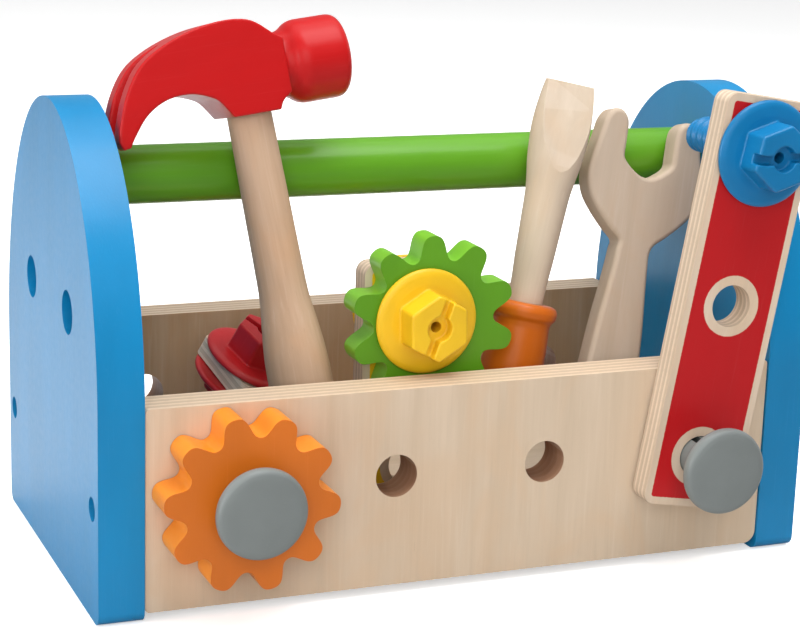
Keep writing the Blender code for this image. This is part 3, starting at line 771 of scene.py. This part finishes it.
BLUE = (0.002, 0.232, 0.505)
BIRCH = (0.680, 0.525, 0.372)
BIRCH_EDGE = (0.680, 0.505, 0.345)
# partly a browner board tone, partly painted shade: the back board is darkened for the shade
# inside the box
BIRCH_BACK_TONE_AND_SHADE = (0.500, 0.325, 0.180)
PLY_BARE = (0.700, 0.545, 0.400)
BEECH = (0.590, 0.385, 0.245)
DRIVER_WOOD = (0.650, 0.520, 0.385)
WRENCH_WOOD = (0.520, 0.405, 0.295)
GREEN = (0.120, 0.360, 0.014)
GEAR_GREEN = (0.110, 0.330, 0.011)
# painted light: the gear colours for sides, here and for the orange gear below, are lighter copies
# of the paint for their lit cut edges
GEAR_GREEN_LIT_SIDES = (0.200, 0.500, 0.035)
RED = (0.500, 0.010, 0.013)
HEAD_RED = (0.520, 0.008, 0.009)
# painted shade: the colours for recesses, here and for the yellow bolt below, are darker copies
# for the bolts' and nuts' hollows
BOLT_RED, BOLT_RED_RECESS_SHADE = (0.430, 0.010, 0.013), (0.200, 0.004, 0.005)
BOLT_BLUE, BOLT_BLUE_RECESS_SHADE = (0.002, 0.180, 0.420), (0.001, 0.060, 0.170)
ORANGE, ORANGE_LIT_SIDES = (0.700, 0.165, 0.009), (0.860, 0.270, 0.014)
HAFT_ORANGE = (0.590, 0.128, 0.006)
YELLOW, YELLOW_RECESS_SHADE = (0.870, 0.530, 0.012), (0.680, 0.230, 0.004)
GREY = (0.195, 0.215, 0.210)

blue_left, blue_right = [
    paint(name, BLUE, rough=0.34, grain=1, seed=seed, fibres=0.16, face=END_THICK)
    for name, seed in (("blue_paint_left", 0.31), ("blue_paint_right", 0.83))
]
green_bar = paint("green_bar_paint", GREEN, rough=0.33, grain=2, seed=0.12, coat=0.10)
orange_paint = paint(
    "orange_gear_paint", ORANGE, rough=0.42, grain=1, seed=0.22, face=ORANGE_THICK,
    sides=ORANGE_LIT_SIDES,
)
gear_paint = paint(
    "green_gear_paint", GEAR_GREEN, rough=0.38, grain=1, seed=0.47, face=GREEN_THICK,
    sides=GEAR_GREEN_LIT_SIDES,
)
haft_paint = paint(
    "orange_handle_paint", HAFT_ORANGE, rough=0.34, grain=2, seed=0.18, coat=0.06,
    fibres=0.12, specular=0.4,
)
head_paint = paint(
    "hammer_head_paint", HEAD_RED, rough=0.33, grain=0, seed=0.61, coat=0.03, fibres=0.06,
    worn=0.25, specular=0.3,
)
grey_paint = paint("peg_paint", GREY, rough=0.42, grain=2, seed=0.71, fibres=0.05, worn=0.3)
blue_bolt_paint = bolt_paint(
    "blue_bolt_paint", BOLT_BLUE, rough=0.36, seed=0.27, recess_shade=BOLT_BLUE_RECESS_SHADE
)
yellow_bolt_paint = bolt_paint(
    "yellow_bolt_paint", YELLOW, rough=0.38, seed=0.57, recess_shade=YELLOW_RECESS_SHADE
)
red_bolt_paint = bolt_paint(
    "red_bolt_paint", BOLT_RED, rough=0.36, seed=0.67, recess_shade=BOLT_RED_RECESS_SHADE
)
beech_hammer = bare_wood("hammer_handle_wood", BEECH, grain=2, seed=0.13, streak=0.8)
beech_driver = bare_wood(
    "screwdriver_wood", DRIVER_WOOD, grain=2, seed=0.53, streak=0.35, knots=True
)
beech_wrench = bare_wood(
    "wrench_wood", WRENCH_WOOD, grain=1, seed=0.93, streak=0.25, face=WRENCH_THICK
)
steel = brushed_metal("screw_metal")

# ---------------------------------------------------------------- box


def end_outline():
    """Straight sides with rounded feet, under half an ellipse."""
    rise = END_HEIGHT - END_STRAIGHT
    angles = [math.pi * i / 130 for i in range(131)]
    arch = [(HALF_DEPTH * math.cos(a), END_STRAIGHT + rise * math.sin(a)) for a in angles]
    return (
        quarter(HALF_DEPTH - END_CORNER, END_CORNER, END_CORNER, -90, 12)
        + arch
        + quarter(-HALF_DEPTH + END_CORNER, END_CORNER, END_CORNER, 180, 12)
    )


def end_panel(side, label, material):
    """An arched end. Its own x runs to the back, y up and z to the right of the box."""
    back = RIGHT_HOLES_BACK if side > 0 else 0.0
    holes = [circle(HOLE_RADIUS, (y + back, END_HOLE_Z)) for y in (-END_HOLE_Y, END_HOLE_Y)]
    panel = flat(label + "_end", [end_outline()] + holes, END_THICK, 1.8, 5)
    # a pocket for the bar in the inner face, and stepped holes for the screws in the outer
    boolean(panel, rod_tool(BAR_RADIUS + 0.25, 16.0, (0, BAR_Z, -side * END_THICK / 2), count=96))
    for y in (-SCREW_Y, SCREW_Y):
        boolean(panel, rod_tool(4.0, 10.0, (y, SCREW_Z, side * END_THICK / 2)))
        pilot_at = (y, SCREW_Z, side * (END_THICK / 2 - 16))
        boolean(panel, rod_tool(2.35, 37.0, pilot_at, count=32))
    bevel(panel, 0.25, 2, 60)
    matrix = placed((side * (BOX_LENGTH - END_THICK) / 2, 0, 0), (90, 0, 90))
    finish(panel, label + "_end_panel", material, matrix)


def board(sign, label, colour, cut_colour, seed):
    """A long board with four holes."""
    material = ply_board(
        label + "_board_ply", colour, cut_colour, BOARD_THICK, 9, grain=1, seed=seed,
        holes=BOARD_HOLES,
    )
    edge = rounded_rectangle(
        -INNER_X + GAP, BOARD_LOW, INNER_X - GAP, BOARD_TOP, 1.5, low_right=4.5
    )
    # each hole's points start at an angle of their own
    holes = [
        circle(HOLE_RADIUS, hole, start=0.013 * (k + 1)) for k, hole in enumerate(BOARD_HOLES)
    ]
    obj = flat(label + "_board", [edge] + holes, BOARD_THICK, 0.8)
    finish(obj, label + "_panel", material, facing_front((0, 0), -sign * BOARD_MID))


def base_panel():
    half = HALF_DEPTH - BOARD_BACK - BOARD_THICK - GAP
    outline = rounded_rectangle(-INNER_X + GAP, -half, INNER_X - GAP, half, 0.6)
    base = flat("base", [outline], BASE_THICK, 0.35, 2)
    material = ply_board(
        "base_ply", tint(BIRCH, -0.08), BIRCH_EDGE, BASE_THICK, 3, grain=0, seed=0.55
    )
    finish(base, "base_panel", material, placed((0, 0, BASE_TOP - BASE_THICK / 2)))


def handle_bar():
    half = INNER_X + BAR_IN_END
    profile = (
        [(0, half), (BAR_RADIUS, half)]
        + [(BAR_RADIUS, INNER_X * (1 - 2 * i / 12)) for i in range(13)]
        + [(BAR_RADIUS, -half), (0, -half)]
    )
    bar = turned("bar", soft_profile(profile, 1.0), 128)
    finish(bar, "handle_bar", green_bar, placed((0, 0, BAR_Z), (0, 90, 0)))


# (radius, height) from the face of the head to the point
SCREW_PROFILE = [
    (0, 0), (3.3, 0), (3.6, -0.4), (3.6, -2.3), (2.0, -2.7), (2.0, -26.0), (0, -29.0),
]


def end_screw(side, end, sign, label):
    """A screw with a hexagon socket, its head towards the outside."""
    screw = turned("screw", soft_profile(SCREW_PROFILE, 0.3, 3), 48)
    boolean(screw, cut_out("socket", [circle(1.9, count=6)], 3.0))
    bevel(screw, 0.08, 2, 50)
    at = (side * (BOX_LENGTH / 2 - SCREW_SUNK), sign * SCREW_Y, SCREW_Z)
    finish(screw, "screw_" + end + "_" + label, steel, placed(at, (0, side * 90, 0)))


end_panel(-1, "left", blue_left)
end_panel(1, "right", blue_right)
board(-1, "front", BIRCH, BIRCH_EDGE, seed=0.37)
# the back board and its cut edges are darkened, partly as painted shade of the box's inside
board(1, "back", BIRCH_BACK_TONE_AND_SHADE, tint(BIRCH_EDGE, -0.38), seed=0.77)
base_panel()
handle_bar()
for side, end in ((-1, "left"), (1, "right")):
    for sign, label in ((-1, "front"), (1, "back")):
        end_screw(side, end, sign, label)

# ---------------------------------------------------------------- pegs


# (radius, height) from the middle of the head's face to the far end
PEG_PROFILE = [
    (0, PEG_HEAD),
    (PEG_HEAD_RADIUS - 4.6, PEG_HEAD - 0.02),
    (PEG_HEAD_RADIUS - 2.6, PEG_HEAD - 0.08),
    (PEG_HEAD_RADIUS - 1.1, PEG_HEAD - 0.45),
    (PEG_HEAD_RADIUS - 0.25, PEG_HEAD - 1.25),
    (PEG_HEAD_RADIUS, PEG_HEAD - 2.4),
    (PEG_HEAD_RADIUS, 1.5),
    (PEG_HEAD_RADIUS - 0.35, 0.6),
    (PEG_HEAD_RADIUS - 1.2, 0),
    (PEG_RADIUS + 0.3, 0),
    (PEG_RADIUS, -0.4),
    (PEG_RADIUS, -12.0),
    (PEG_RADIUS, -24.0),
    (PEG_RADIUS, -PEG_LENGTH + 2.2),
    (PEG_RADIUS - 0.7, -PEG_LENGTH + 0.6),
    (PEG_RADIUS - 2.0, -PEG_LENGTH),
    (0, -PEG_LENGTH),
]


def peg(node, face_y, at, slot_turn):
    """A round-headed peg, slotted lengthwise from its far end."""
    obj = turned(node, soft_profile(PEG_PROFILE, 0.7), 112)
    slot = box_tool((PEG_SLOT, 2 * PEG_RADIUS + 2, PEG_LENGTH))
    boolean(obj, set_place(slot, (0, 0, -PEG_LENGTH / 2 - 3.0), (0, 0, slot_turn)))
    bevel(obj, 0.3, 3, 55)
    finish(obj, node, grey_paint, facing_front(at, face_y + PEG_HEAD))


peg("left_peg", LEFT_PEG_FACE, LEFT_HOLE, slot_turn=60)
peg("right_peg", RIGHT_PEG_FACE, RIGHT_HOLE, slot_turn=15)

# ---------------------------------------------------------------- gears

TOOTH_BIAS = 0.12  # widens the teeth against the gaps
TOOTH_FLATNESS = 1.35  # flattens the tips and the roots


def gear_outline(phase, outer, root):
    middle, height = (outer + root) / 2, (outer - root) / 2
    points = []
    count = GEAR_TEETH * 40
    for i in range(count):
        turn = 2 * math.pi * i / count
        wave = math.cos(GEAR_TEETH * turn) + TOOTH_BIAS
        push = math.tanh(TOOTH_FLATNESS * wave) / math.tanh(TOOTH_FLATNESS * (1 + TOOTH_BIAS))
        radius = middle + height * push
        angle = turn + math.radians(phase)
        points.append((radius * math.cos(angle), radius * math.sin(angle)))
    return points


def gear(node, material, at, face_y, thick, outer, root, bore, phase):
    obj = flat(node, [gear_outline(phase, outer, root), circle(bore)], thick, 0.9)
    finish(obj, node, material, facing_front(at, face_y + thick / 2))


gear(
    "orange_gear", orange_paint, LEFT_HOLE, ORANGE_FACE, ORANGE_THICK,
    outer=29.2, root=21.9, bore=HOLE_RADIUS, phase=31.1,
)
gear(
    "green_gear", gear_paint, GREEN_GEAR_AT, GREEN_FACE, GREEN_THICK,
    outer=29.8, root=21.4, bore=10.6, phase=20.2,
)

# ---------------------------------------------------------------- drilled strips


def strip(node, holes, hinge_hole, colour, matrix, seed):
    """A strip along y with its origin at the hinge hole, counted from the low end."""
    low = -STRIP_WIDE / 2 - hinge_hole * STRIP_PITCH
    high = low + STRIP_WIDE + (holes - 1) * STRIP_PITCH
    rectangle = (-STRIP_WIDE / 2, low, STRIP_WIDE / 2, high)
    centres = [(0, (k - hinge_hole) * STRIP_PITCH) for k in range(holes)]
    outlines = [rounded_rectangle(*rectangle, 4.0)] + [circle(HOLE_RADIUS, c) for c in centres]
    obj = flat(node, outlines, PLY, 1.2)
    material = painted_ply(node + "_ply", colour, PLY, 7, rectangle, centres, seed)
    finish(obj, node, material, matrix)


red_strip_place = facing_front(RIGHT_HOLE, RED_STRIP_FACE + PLY / 2, RED_STRIP_LEAN)
strip("red_strip", 3, 0, RED, red_strip_place, seed=0.41)
yellow_strip_place = facing_front(YELLOW_STRIP_AT, YELLOW_FACE + PLY / 2)
strip("yellow_strip", 2, 1, YELLOW, yellow_strip_place, seed=0.61)

# ---------------------------------------------------------------- bolts and nuts

# (radius, height) of the flanges, from the outer face of the bolt's and the inner of the nut's
BOLT_FLANGE = [
    (0, FLANGE + 0.3),
    (13.0, FLANGE + 0.2),
    (16.2, FLANGE - 0.2),
    (17.6, FLANGE - 0.8),
    (FLANGE_RADIUS, FLANGE - 1.6),
    (FLANGE_RADIUS - 0.2, 0.5),
    (FLANGE_RADIUS - 0.9, 0.0),
    (0, 0.0),
]
NUT_FLANGE = [
    (0, 0.0),
    (FLANGE_RADIUS - 0.9, 0.0),
    (FLANGE_RADIUS - 0.1, -0.6),
    (FLANGE_RADIUS, -1.4),
    (FLANGE_RADIUS - 0.7, -2.3),
    (FLANGE_RADIUS - 2.2, -FLANGE),
    (0, -FLANGE - 0.3),
]
# (x, y) along the middle of the winding slot
WINDING_PATH = [(1.9, -14.0), (1.7, -7.0), (0.9, -3.4), (-0.9, 3.4), (-1.7, 7.0), (-1.9, 14.0)]


def thread(low, high, clear=0.0, per_turn=30):
    """A rounded screw thread: a circle set off from the axis that turns once in each pitch."""
    points = 40
    radius, offset = CORE_RADIUS + RIDGE / 2 + clear, RIDGE / 2
    count = int(math.ceil((high - low) / PITCH * per_turn))
    verts, faces = [], []
    for i in range(count + 1):
        z = low + (high - low) * i / count
        ahead = 2 * math.pi * z / PITCH
        for k in range(points):
            a = 2 * math.pi * k / points
            x = radius * math.cos(a) + offset * math.cos(ahead)
            y = radius * math.sin(a) + offset * math.sin(ahead)
            verts.append((x, y, z))
    for level in range(count):
        for k in range(points):
            one, two = level * points + k, level * points + (k + 1) % points
            faces.append((one, two, two + points, one + points))
    faces.append(tuple(reversed(range(points))))
    faces.append(tuple(len(verts) - points + k for k in range(points)))
    return from_faces("thread", verts, faces)


def hex_prism(low, high, turn=0.0):
    outline = circle(HEX_ACROSS / math.sqrt(3), count=6, start=math.radians(90 + turn))
    prism = set_place(cut_out("prism", [outline], high - low), (0, 0, (low + high) / 2))
    return bevel(prism, 0.9)


def slot_tool(winding):
    if not winding:
        return box_tool((HEX_SLOT, 2 * HEX_ACROSS, 2 * HEX_SLOT_DEEP))
    path = smooth(WINDING_PATH, 6)
    left = [(x - HEX_SLOT / 2, y) for x, y in path]
    right = [(x + HEX_SLOT / 2, y) for x, y in path]
    return cut_out("tool", [left + list(reversed(right))], 2 * HEX_SLOT_DEEP)


def bolt(node, material, matrix, hex_turn, slot_turn, winding=False):
    """A flanged bolt with z = 0 at the flange's shank side and its slotted head above."""
    obj = turned(node, soft_profile(BOLT_FLANGE, 0.5), 112)
    top = FLANGE + HEX_HIGH
    head = hex_prism(FLANGE - HEX_INSET, top, hex_turn)
    tool = slot_tool(winding)
    tool.matrix_world = Matrix.Rotation(math.radians(slot_turn), 4, "Z") @ placed((0, 0, top))
    boolean(head, tool)
    boolean(head, rod_tool(4.3, 7.8, (0, 0, top)))
    join(obj, head, thread(-SHANK, 1.0))
    cast(obj, 0.32, 5)
    boolean(obj, rod_tool(1.9, 36.0, (0, 0, top), count=32))
    finish(obj, node, material, matrix, sharp=60.0, weighted=False)


def nut(node, material, matrix, behind=0.0):
    """A flanged nut below z = 0. Behind, its distance from a bolt's flange, aligns the threads."""
    obj = turned(node, soft_profile(NUT_FLANGE, 0.5), 112)
    join(obj, hex_prism(-FLANGE - NUT_HIGH, -HEX_INSET))
    cast(obj, 0.4, 4)
    bore = thread(-NUT_HIGH - FLANGE - 3 - behind, 3 - behind, THREAD_CLEAR, per_turn=24)
    boolean(obj, set_place(bore, (0, 0, behind)))
    finish(obj, node, material, matrix, sharp=50.0, weighted=False)


# the blue bolt is in the red strip's top hole
lean = math.radians(RED_STRIP_LEAN)
top_hole = (
    RIGHT_HOLE[0] + 2 * STRIP_PITCH * math.sin(lean) + BLUE_BOLT_SHIFT[0],
    RIGHT_HOLE[1] + 2 * STRIP_PITCH * math.cos(lean) + BLUE_BOLT_SHIFT[1],
)
blue_bolt_place = facing_front(top_hole, RED_STRIP_FACE - BOLT_GAP)
bolt("blue_bolt", blue_bolt_paint, blue_bolt_place, hex_turn=-12, slot_turn=78, winding=True)

# the yellow bolt and nut hold the green gear and the yellow strip together
bolt_y = GREEN_FACE - BOLT_GAP
nut_y = YELLOW_FACE + PLY + GAP
yellow_bolt_place = facing_front(YELLOW_BOLT_AT, bolt_y)
bolt("yellow_bolt", yellow_bolt_paint, yellow_bolt_place, hex_turn=2, slot_turn=-20)
nut("yellow_nut", yellow_bolt_paint, facing_front(YELLOW_BOLT_AT, nut_y), nut_y - bolt_y)

# the red bolt, tilted in the box, carries the green plate and the red nut
RED_AT = (-51.5, 12.0, 62.2)
RED_AZIMUTH, RED_RISE = 48.0, 61.0  # degrees: to the right from the front, and up
PLATE_DOWN = Vector((0.242, -0.873, -0.424))  # roughly towards the plate's own -y

azimuth, rise = math.radians(RED_AZIMUTH), math.radians(RED_RISE)
axis = Vector(
    (math.sin(azimuth) * math.cos(rise), -math.cos(azimuth) * math.cos(rise), math.sin(rise))
)
down = (PLATE_DOWN - PLATE_DOWN.dot(axis) * axis).normalized()
tilt = Matrix((axis.cross(down), -down, axis)).transposed()
red_back = Vector(RED_AT) - axis * (FLANGE - HEX_INSET)
red_frame = Matrix.Translation(red_back * MM) @ tilt.to_4x4()


def green_plate():
    edge = (-PLATE_WIDE / 2, -PLATE_LONG / 2, PLATE_WIDE / 2, PLATE_LONG / 2)
    outlines = [rounded_rectangle(*edge, 3.0), circle(HOLE_RADIUS)]
    plate = flat("plate", outlines, PLATE_THICK, 0.8)
    material = painted_ply(
        "green_plate_ply", GEAR_GREEN, PLATE_THICK, 5, edge, [(0, 0)], seed=0.33,
        margin=2.0, ring=9.5,
    )
    finish(plate, "green_plate", material, red_frame @ placed((0, 0, -GAP - PLATE_THICK / 2)))


bolt("red_bolt", red_bolt_paint, red_frame, hex_turn=8, slot_turn=30)
green_plate()
red_nut_place = red_frame @ placed((0, 0, -2 * GAP - PLATE_THICK))
nut("red_nut", red_bolt_paint, red_nut_place, 2 * GAP + PLATE_THICK)

# the blue nut lies on the base, flange down
nut("blue_nut", blue_bolt_paint, placed((-69.7, 27.9, BASE_TOP + GAP), (180, 0, 25)))

# ---------------------------------------------------------------- hand tools


def leaning(at, back, right):
    """A tool's frame, its top tipped back and to the right by these degrees."""
    turn = Matrix.Rotation(math.radians(-back), 4, "X") @ Matrix.Rotation(
        math.radians(right), 4, "Y"
    )
    return Matrix.Translation([v * MM for v in at]) @ turn


hammer = leaning((-59.9, -18.3, BAR_Z), back=10.5, right=-7.87)
driver = leaning((47.05, -20.4, BAR_Z), back=6.0, right=12.9)
spanner = leaning((82.7, -16.3, BAR_Z), back=13.0, right=12.65)

HANDLE_TURN = 1.05  # degrees between the hammer's handle and its frame
HEAD_THICK = 24.0

# (radius, height)
GRIP_PROFILE = [
    (7.2, 43.2), (7.45, 22.0), (7.7, 4.0), (7.9, -12.0), (8.1, -28.0), (8.4, -40.0),
    (9.6, -50.0), (10.6, -60.0), (10.9, -72.0), (10.6, -92.0), (9.8, -108.0),
    (8.2, -115.5), (4.8, -119.4),
]
STRIKER_PROFILE = [
    (0, 34.9), (11.2, 34.9), (12.8, 34.4), (13.8, 33.1), (14.0, 31.3), (14.0, 19.6),
    (13.2, 17.2), (11.4, 15.0), (10.6, 12.0), (10.6, 2.0), (0, 2.0),
]
# (x, y) of the head with y up: the claw's upper side, the corner by the striker, its under side
CLAW_TOP = [
    (-46.9, 17.6), (-47.9, 20.5), (-46.6, 26.0), (-43.0, 34.8), (-37.0, 43.1),
    (-28.5, 48.4), (-17.4, 52.1), (-6.4, 53.5), (2.2, 52.2), (9.1, 47.0),
]
HEAD_RIGHT = [(12.2, 45.0), (12.2, 27.2)]
HEAD_CORNER = [(11.0, 26.3), (8.8, 24.6), (7.6, 22.0)]
CLAW_UNDER = [
    (-10.6, 25.0), (-14.2, 29.0), (-22.0, 31.7), (-30.2, 31.0), (-37.0, 27.4),
    (-42.0, 21.8), (-44.6, 17.9),
]
# (x, half width) of the notch that splits the claw, from beyond its tip
NOTCH = [(-60.0, 5.4), (-42.0, 4.6), (-34.0, 3.4), (-28.4, 1.8), (-27.2, 1.1), (-26.8, 0.0)]


def hammer_handle():
    grip = turned("grip", [(0, 44.0), (6.6, 44.0)] + smooth(GRIP_PROFILE, 5) + [(0, -120.4)])
    matrix = hammer @ placed((0.4, 0, 0), (0, -HANDLE_TURN, 0))
    finish(grip, "hammer_handle", beech_hammer, matrix)


def hammer_head():
    """The split claw on the left and the striker on the right, bored for the handle."""
    outline = (
        smooth(CLAW_TOP, 10)
        + HEAD_RIGHT
        + smooth(HEAD_CORNER, 5)
        + [(-8.6, 22.0)]
        + smooth(CLAW_UNDER, 10)
    )
    head = flat("head", [list(reversed(outline))], HEAD_THICK, 1.5)
    notch = [(x, -half) for x, half in NOTCH] + [(x, half) for x, half in reversed(NOTCH[:-1])]
    boolean(head, set_place(cut_out("tool", [notch], 60.0), (0, 30.0, 0), (90, 0, 0)))
    striker = turned("striker", soft_profile(STRIKER_PROFILE, 1.2), 120)
    join(head, set_place(striker, (0, 36.6, 0), (0, 90, 0)))
    cast(head, 0.42, 3)
    boolean(head, rod_tool(7.85, 40.0, (-0.05, 24.6, 0), (90, 0, HANDLE_TURN), 96))
    matrix = hammer @ placed(turn=(90, 0, 0))
    finish(head, "hammer_head", head_paint, matrix, sharp=50.0, weighted=False)


# (radius, height)
SHAFT_PROFILE = [
    (8.6, 30.6), (9.4, 26.0), (10.1, 20.0), (10.4, 14.0), (10.1, 8.0), (9.5, 2.0),
    (8.7, -3.0), (7.9, -9.0), (7.4, -20.0), (6.9, -32.0), (6.3, -44.0), (6.0, -72.0),
]
HAFT_COLLAR = [
    (0, -47.6), (9.8, -47.6), (11.4, -48.3), (12.2, -50.2), (11.9, -52.4), (10.6, -53.8),
]
HAFT_PROFILE = [
    (10.4, -56.0), (10.9, -63.0), (11.2, -74.0), (11.2, -90.0), (10.6, -104.0),
    (9.2, -114.0), (6.6, -118.2),
]
# (half thickness, height) of the wedge that leaves the blade, its middle part curved
BLADE_TIP = [(1.5, 31.5)]
BLADE_CURVE = [(4.3, 22.0), (6.7, 13.0), (8.6, 3.0), (9.9, -5.0)]
BLADE_FOOT = [(12.0, -20.0), (12.0, -90.0)]


def screwdriver_shaft():
    """A turned shaft, flattened to a blade at the top."""
    profile = [(0, 30.6)] + smooth(SHAFT_PROFILE, 5) + [(5.2, -73.0), (0, -73.0)]
    shaft = turned("shaft", profile, 112)
    side = BLADE_TIP + smooth(BLADE_CURVE, 5) + BLADE_FOOT
    outline = [(-y, z) for y, z in side] + [(y, z) for y, z in reversed(side)]
    blade = set_place(cut_out("tool", [outline], 40.0), turn=(90, 0, 90))
    boolean(shaft, blade, "INTERSECT")
    bevel(shaft, 0.5, 3, 30)
    matrix = driver @ placed(turn=(0, 0, -8))
    finish(shaft, "screwdriver_shaft", beech_driver, matrix, sharp=45.0)


def screwdriver_handle():
    profile = HAFT_COLLAR + smooth(HAFT_PROFILE, 5) + [(0, -119.6)]
    haft = turned("haft", soft_profile(profile, 0.7), 112)
    boolean(haft, rod_tool(6.6, 30.0, (0, 0, -60.0), count=64))
    bevel(haft, 0.3, 3, 55)
    finish(haft, "screwdriver_handle", haft_paint, driver)


# (half width, height) about the head's and the handle's axes
WRENCH_HEAD = [
    (7.3, -28.6), (11.4, -25.1), (16.6, -20.1), (20.7, -15.0), (22.6, -10.0), (22.9, -6.0),
    (22.2, -1.0), (21.2, 4.2), (20.1, 8.9), (19.2, 13.2), (16.9, 16.7), (13.4, 17.4),
    (10.7, 15.3), (9.7, 12.0), (9.6, 4.6), (9.3, 0.6), (6.0, -2.6), (1.9, -4.8),
]
WRENCH_HANDLE = [
    (6.7, -32.0), (7.0, -37.0), (7.9, -46.0), (9.6, -62.0), (11.0, -84.0), (11.3, -104.0),
    (8.6, -116.0), (3.2, -120.0),
]
WRENCH_HEAD_X = 2.05


def wrench_handle_x(z):
    """The handle's axis slants slightly against the head's."""
    return 1.15 + 0.032 * (z + 34.0)


def wrench():
    """An open-jawed wrench, jaw up."""
    outline = smooth(
        [(WRENCH_HEAD_X - x, z) for x, z in WRENCH_HEAD]
        + [(WRENCH_HEAD_X + x, z) for x, z in reversed(WRENCH_HEAD)]
        + [(wrench_handle_x(z) + x, z) for x, z in WRENCH_HANDLE]
        + [(wrench_handle_x(z) - x, z) for x, z in reversed(WRENCH_HANDLE)],
        8,
        closed=True,
    )
    obj = flat("wrench", [outline], WRENCH_THICK, 1.9, 6)
    matrix = spanner @ facing_front((0, 0), WRENCH_FRONT + WRENCH_THICK / 2)
    finish(obj, "wrench", beech_wrench, matrix)


hammer_handle()
hammer_head()
screwdriver_shaft()
screwdriver_handle()
wrench()

# ---------------------------------------------------------------- floor, light, camera

scene = bpy.context.scene

FLOOR_HALF_WIDE, FLOOR_DROP = 6000, 0.2
FLOOR_FRONT, FLOOR_BACK = -4000, 2000
SWEEP_RADIUS, BACKDROP_HIGH = 1200, 5000


def floor_material():
    """Near white to the camera, darker in the light it throws on the pieces."""
    nodes = Shader("floor_white")
    position = nodes.add("NewGeometry", outputs=("Position",))
    haze = nodes.noise(position, scale=3.0, detail=2.0, rough=0.5)
    glossy, camera_ray = nodes.add("LightPath", outputs=("Is Glossy Ray", "Is Camera Ray"))
    depth = nodes.split(position)[1]
    to_back = nodes.step(depth, start=-0.20, end=0.12)
    mirrored = nodes.mix(to_back, (0.10, 0.10, 0.10), (0.92, 0.92, 0.92))
    reflected = nodes.mix(glossy, (0.48, 0.48, 0.48), mirrored)
    seen = nodes.mix(haze, (0.92, 0.92, 0.92), (0.94, 0.94, 0.94))
    colour = nodes.mix(camera_ray, reflected, seen)
    nodes.link((1, 1, 1), nodes.bsdf.inputs["Emission Color"])
    nodes.link(camera_ray * 0.5, nodes.bsdf.inputs["Emission Strength"])
    return nodes.done(colour, rough=0.8, specular=0.1)


def ground():
    """A pale floor that curves up into a backdrop far behind."""
    verts, faces = [], []
    angles = [math.pi / 2 * i / 16 for i in range(1, 17)]
    sweep = [
        (FLOOR_BACK + SWEEP_RADIUS * math.sin(a), SWEEP_RADIUS - SWEEP_RADIUS * math.cos(a))
        for a in angles
    ]
    wall_top = (FLOOR_BACK + SWEEP_RADIUS, BACKDROP_HIGH)
    path = [(FLOOR_FRONT, 0.0), (FLOOR_BACK, 0.0)] + sweep + [wall_top]
    for y, z in path:
        verts += [(x, y, z - FLOOR_DROP) for x in (-FLOOR_HALF_WIDE, FLOOR_HALF_WIDE)]
    for i in range(len(path) - 1):
        faces.append((2 * i, 2 * i + 1, 2 * i + 3, 2 * i + 2))
    obj = from_faces("floor", verts, faces)
    obj.data.polygons.foreach_set("use_smooth", [True] * len(obj.data.polygons))
    obj.data.materials.append(floor_material())
    return obj


ground()


def area(name, at, size, power, aim_z=0.08):
    """An area light aimed at the z axis, in metres and watts."""
    light = bpy.data.lights.new(name, "AREA")
    light.shape = "RECTANGLE"
    light.size, light.size_y = size
    light.energy = power
    obj = bpy.data.objects.new(name, light)
    scene.collection.objects.link(obj)
    obj.location = at
    aim = Vector((0, 0, aim_z)) - Vector(at)
    obj.rotation_euler = aim.to_track_quat("-Z", "Y").to_euler()
    return obj


area("key", at=(0.10, -0.35, 1.20), size=(0.8, 0.8), power=7.0)
front = area("front", at=(-0.50, -1.25, 0.62), size=(0.9, 0.9), power=9.5, aim_z=0.07)
top = area("top", at=(0.0, 0.20, 1.3), size=(1.0, 0.8), power=9.0)
gleam = area("gleam", at=(-0.25, -1.20, 0.78), size=(1.0, 0.14), power=1.0, aim_z=0.12)
fill = area("fill", at=(1.20, 0.35, 0.55), size=(0.9, 0.6), power=5.0)
area("side", at=(-1.10, -0.25, 0.24), size=(0.7, 0.4), power=4.5)
for light in (front, top, fill):
    light.visible_glossy = False
gleam.visible_diffuse = False

world = bpy.data.worlds.new("studio")
scene.world = world
world.use_nodes = True


def studio_sky(tree):
    """Bright behind, dimmer at the sides, dim in front, and white to the camera.

    The glow from above reaches diffuse rays only.
    """
    nodes = Nodes(tree)
    x, y, z = nodes.split(nodes.add("TexCoord", outputs=("Generated",)))
    diffuse, camera_ray = nodes.add("LightPath", outputs=("Is Diffuse Ray", "Is Camera Ray"))
    back = nodes.step(y, start=-0.3, end=0.5, top=0.75)
    over = nodes.step(z, start=0.2, end=0.9, top=0.35) * diffuse
    left = nodes.step(x, start=-0.2, end=-0.9, top=0.25)
    right = nodes.step(x, start=0.3, end=0.9, top=0.15)
    everywhere = 0.06
    total = back + over + left + right + everywhere
    background = tree.nodes["Background"]
    nodes.link(nodes.math("MAXIMUM", total, camera_ray), background.inputs["Strength"])
    nodes.link((1.0, 1.0, 1.0), background.inputs["Color"])


studio_sky(world.node_tree)

scene.view_settings.view_transform = "Standard"
scene.view_settings.look = "None"
scene.view_settings.exposure = 0.0

lens = bpy.data.cameras.new("camera")
camera = bpy.data.objects.new("camera", lens)
scene.collection.objects.link(camera)
camera.rotation_mode = "QUATERNION"
camera.location = CENTRING @ Vector((-0.27655926, -0.67119043, 0.25854107))
camera.rotation_quaternion = (0.775962178, 0.601294884, -0.128845213, -0.140449532)
lens.sensor_width = 36.0
lens.lens = 94.04243822
lens.clip_start, lens.clip_end = 0.01, 30.0
scene.camera = camera

bpy.context.view_layer.update()
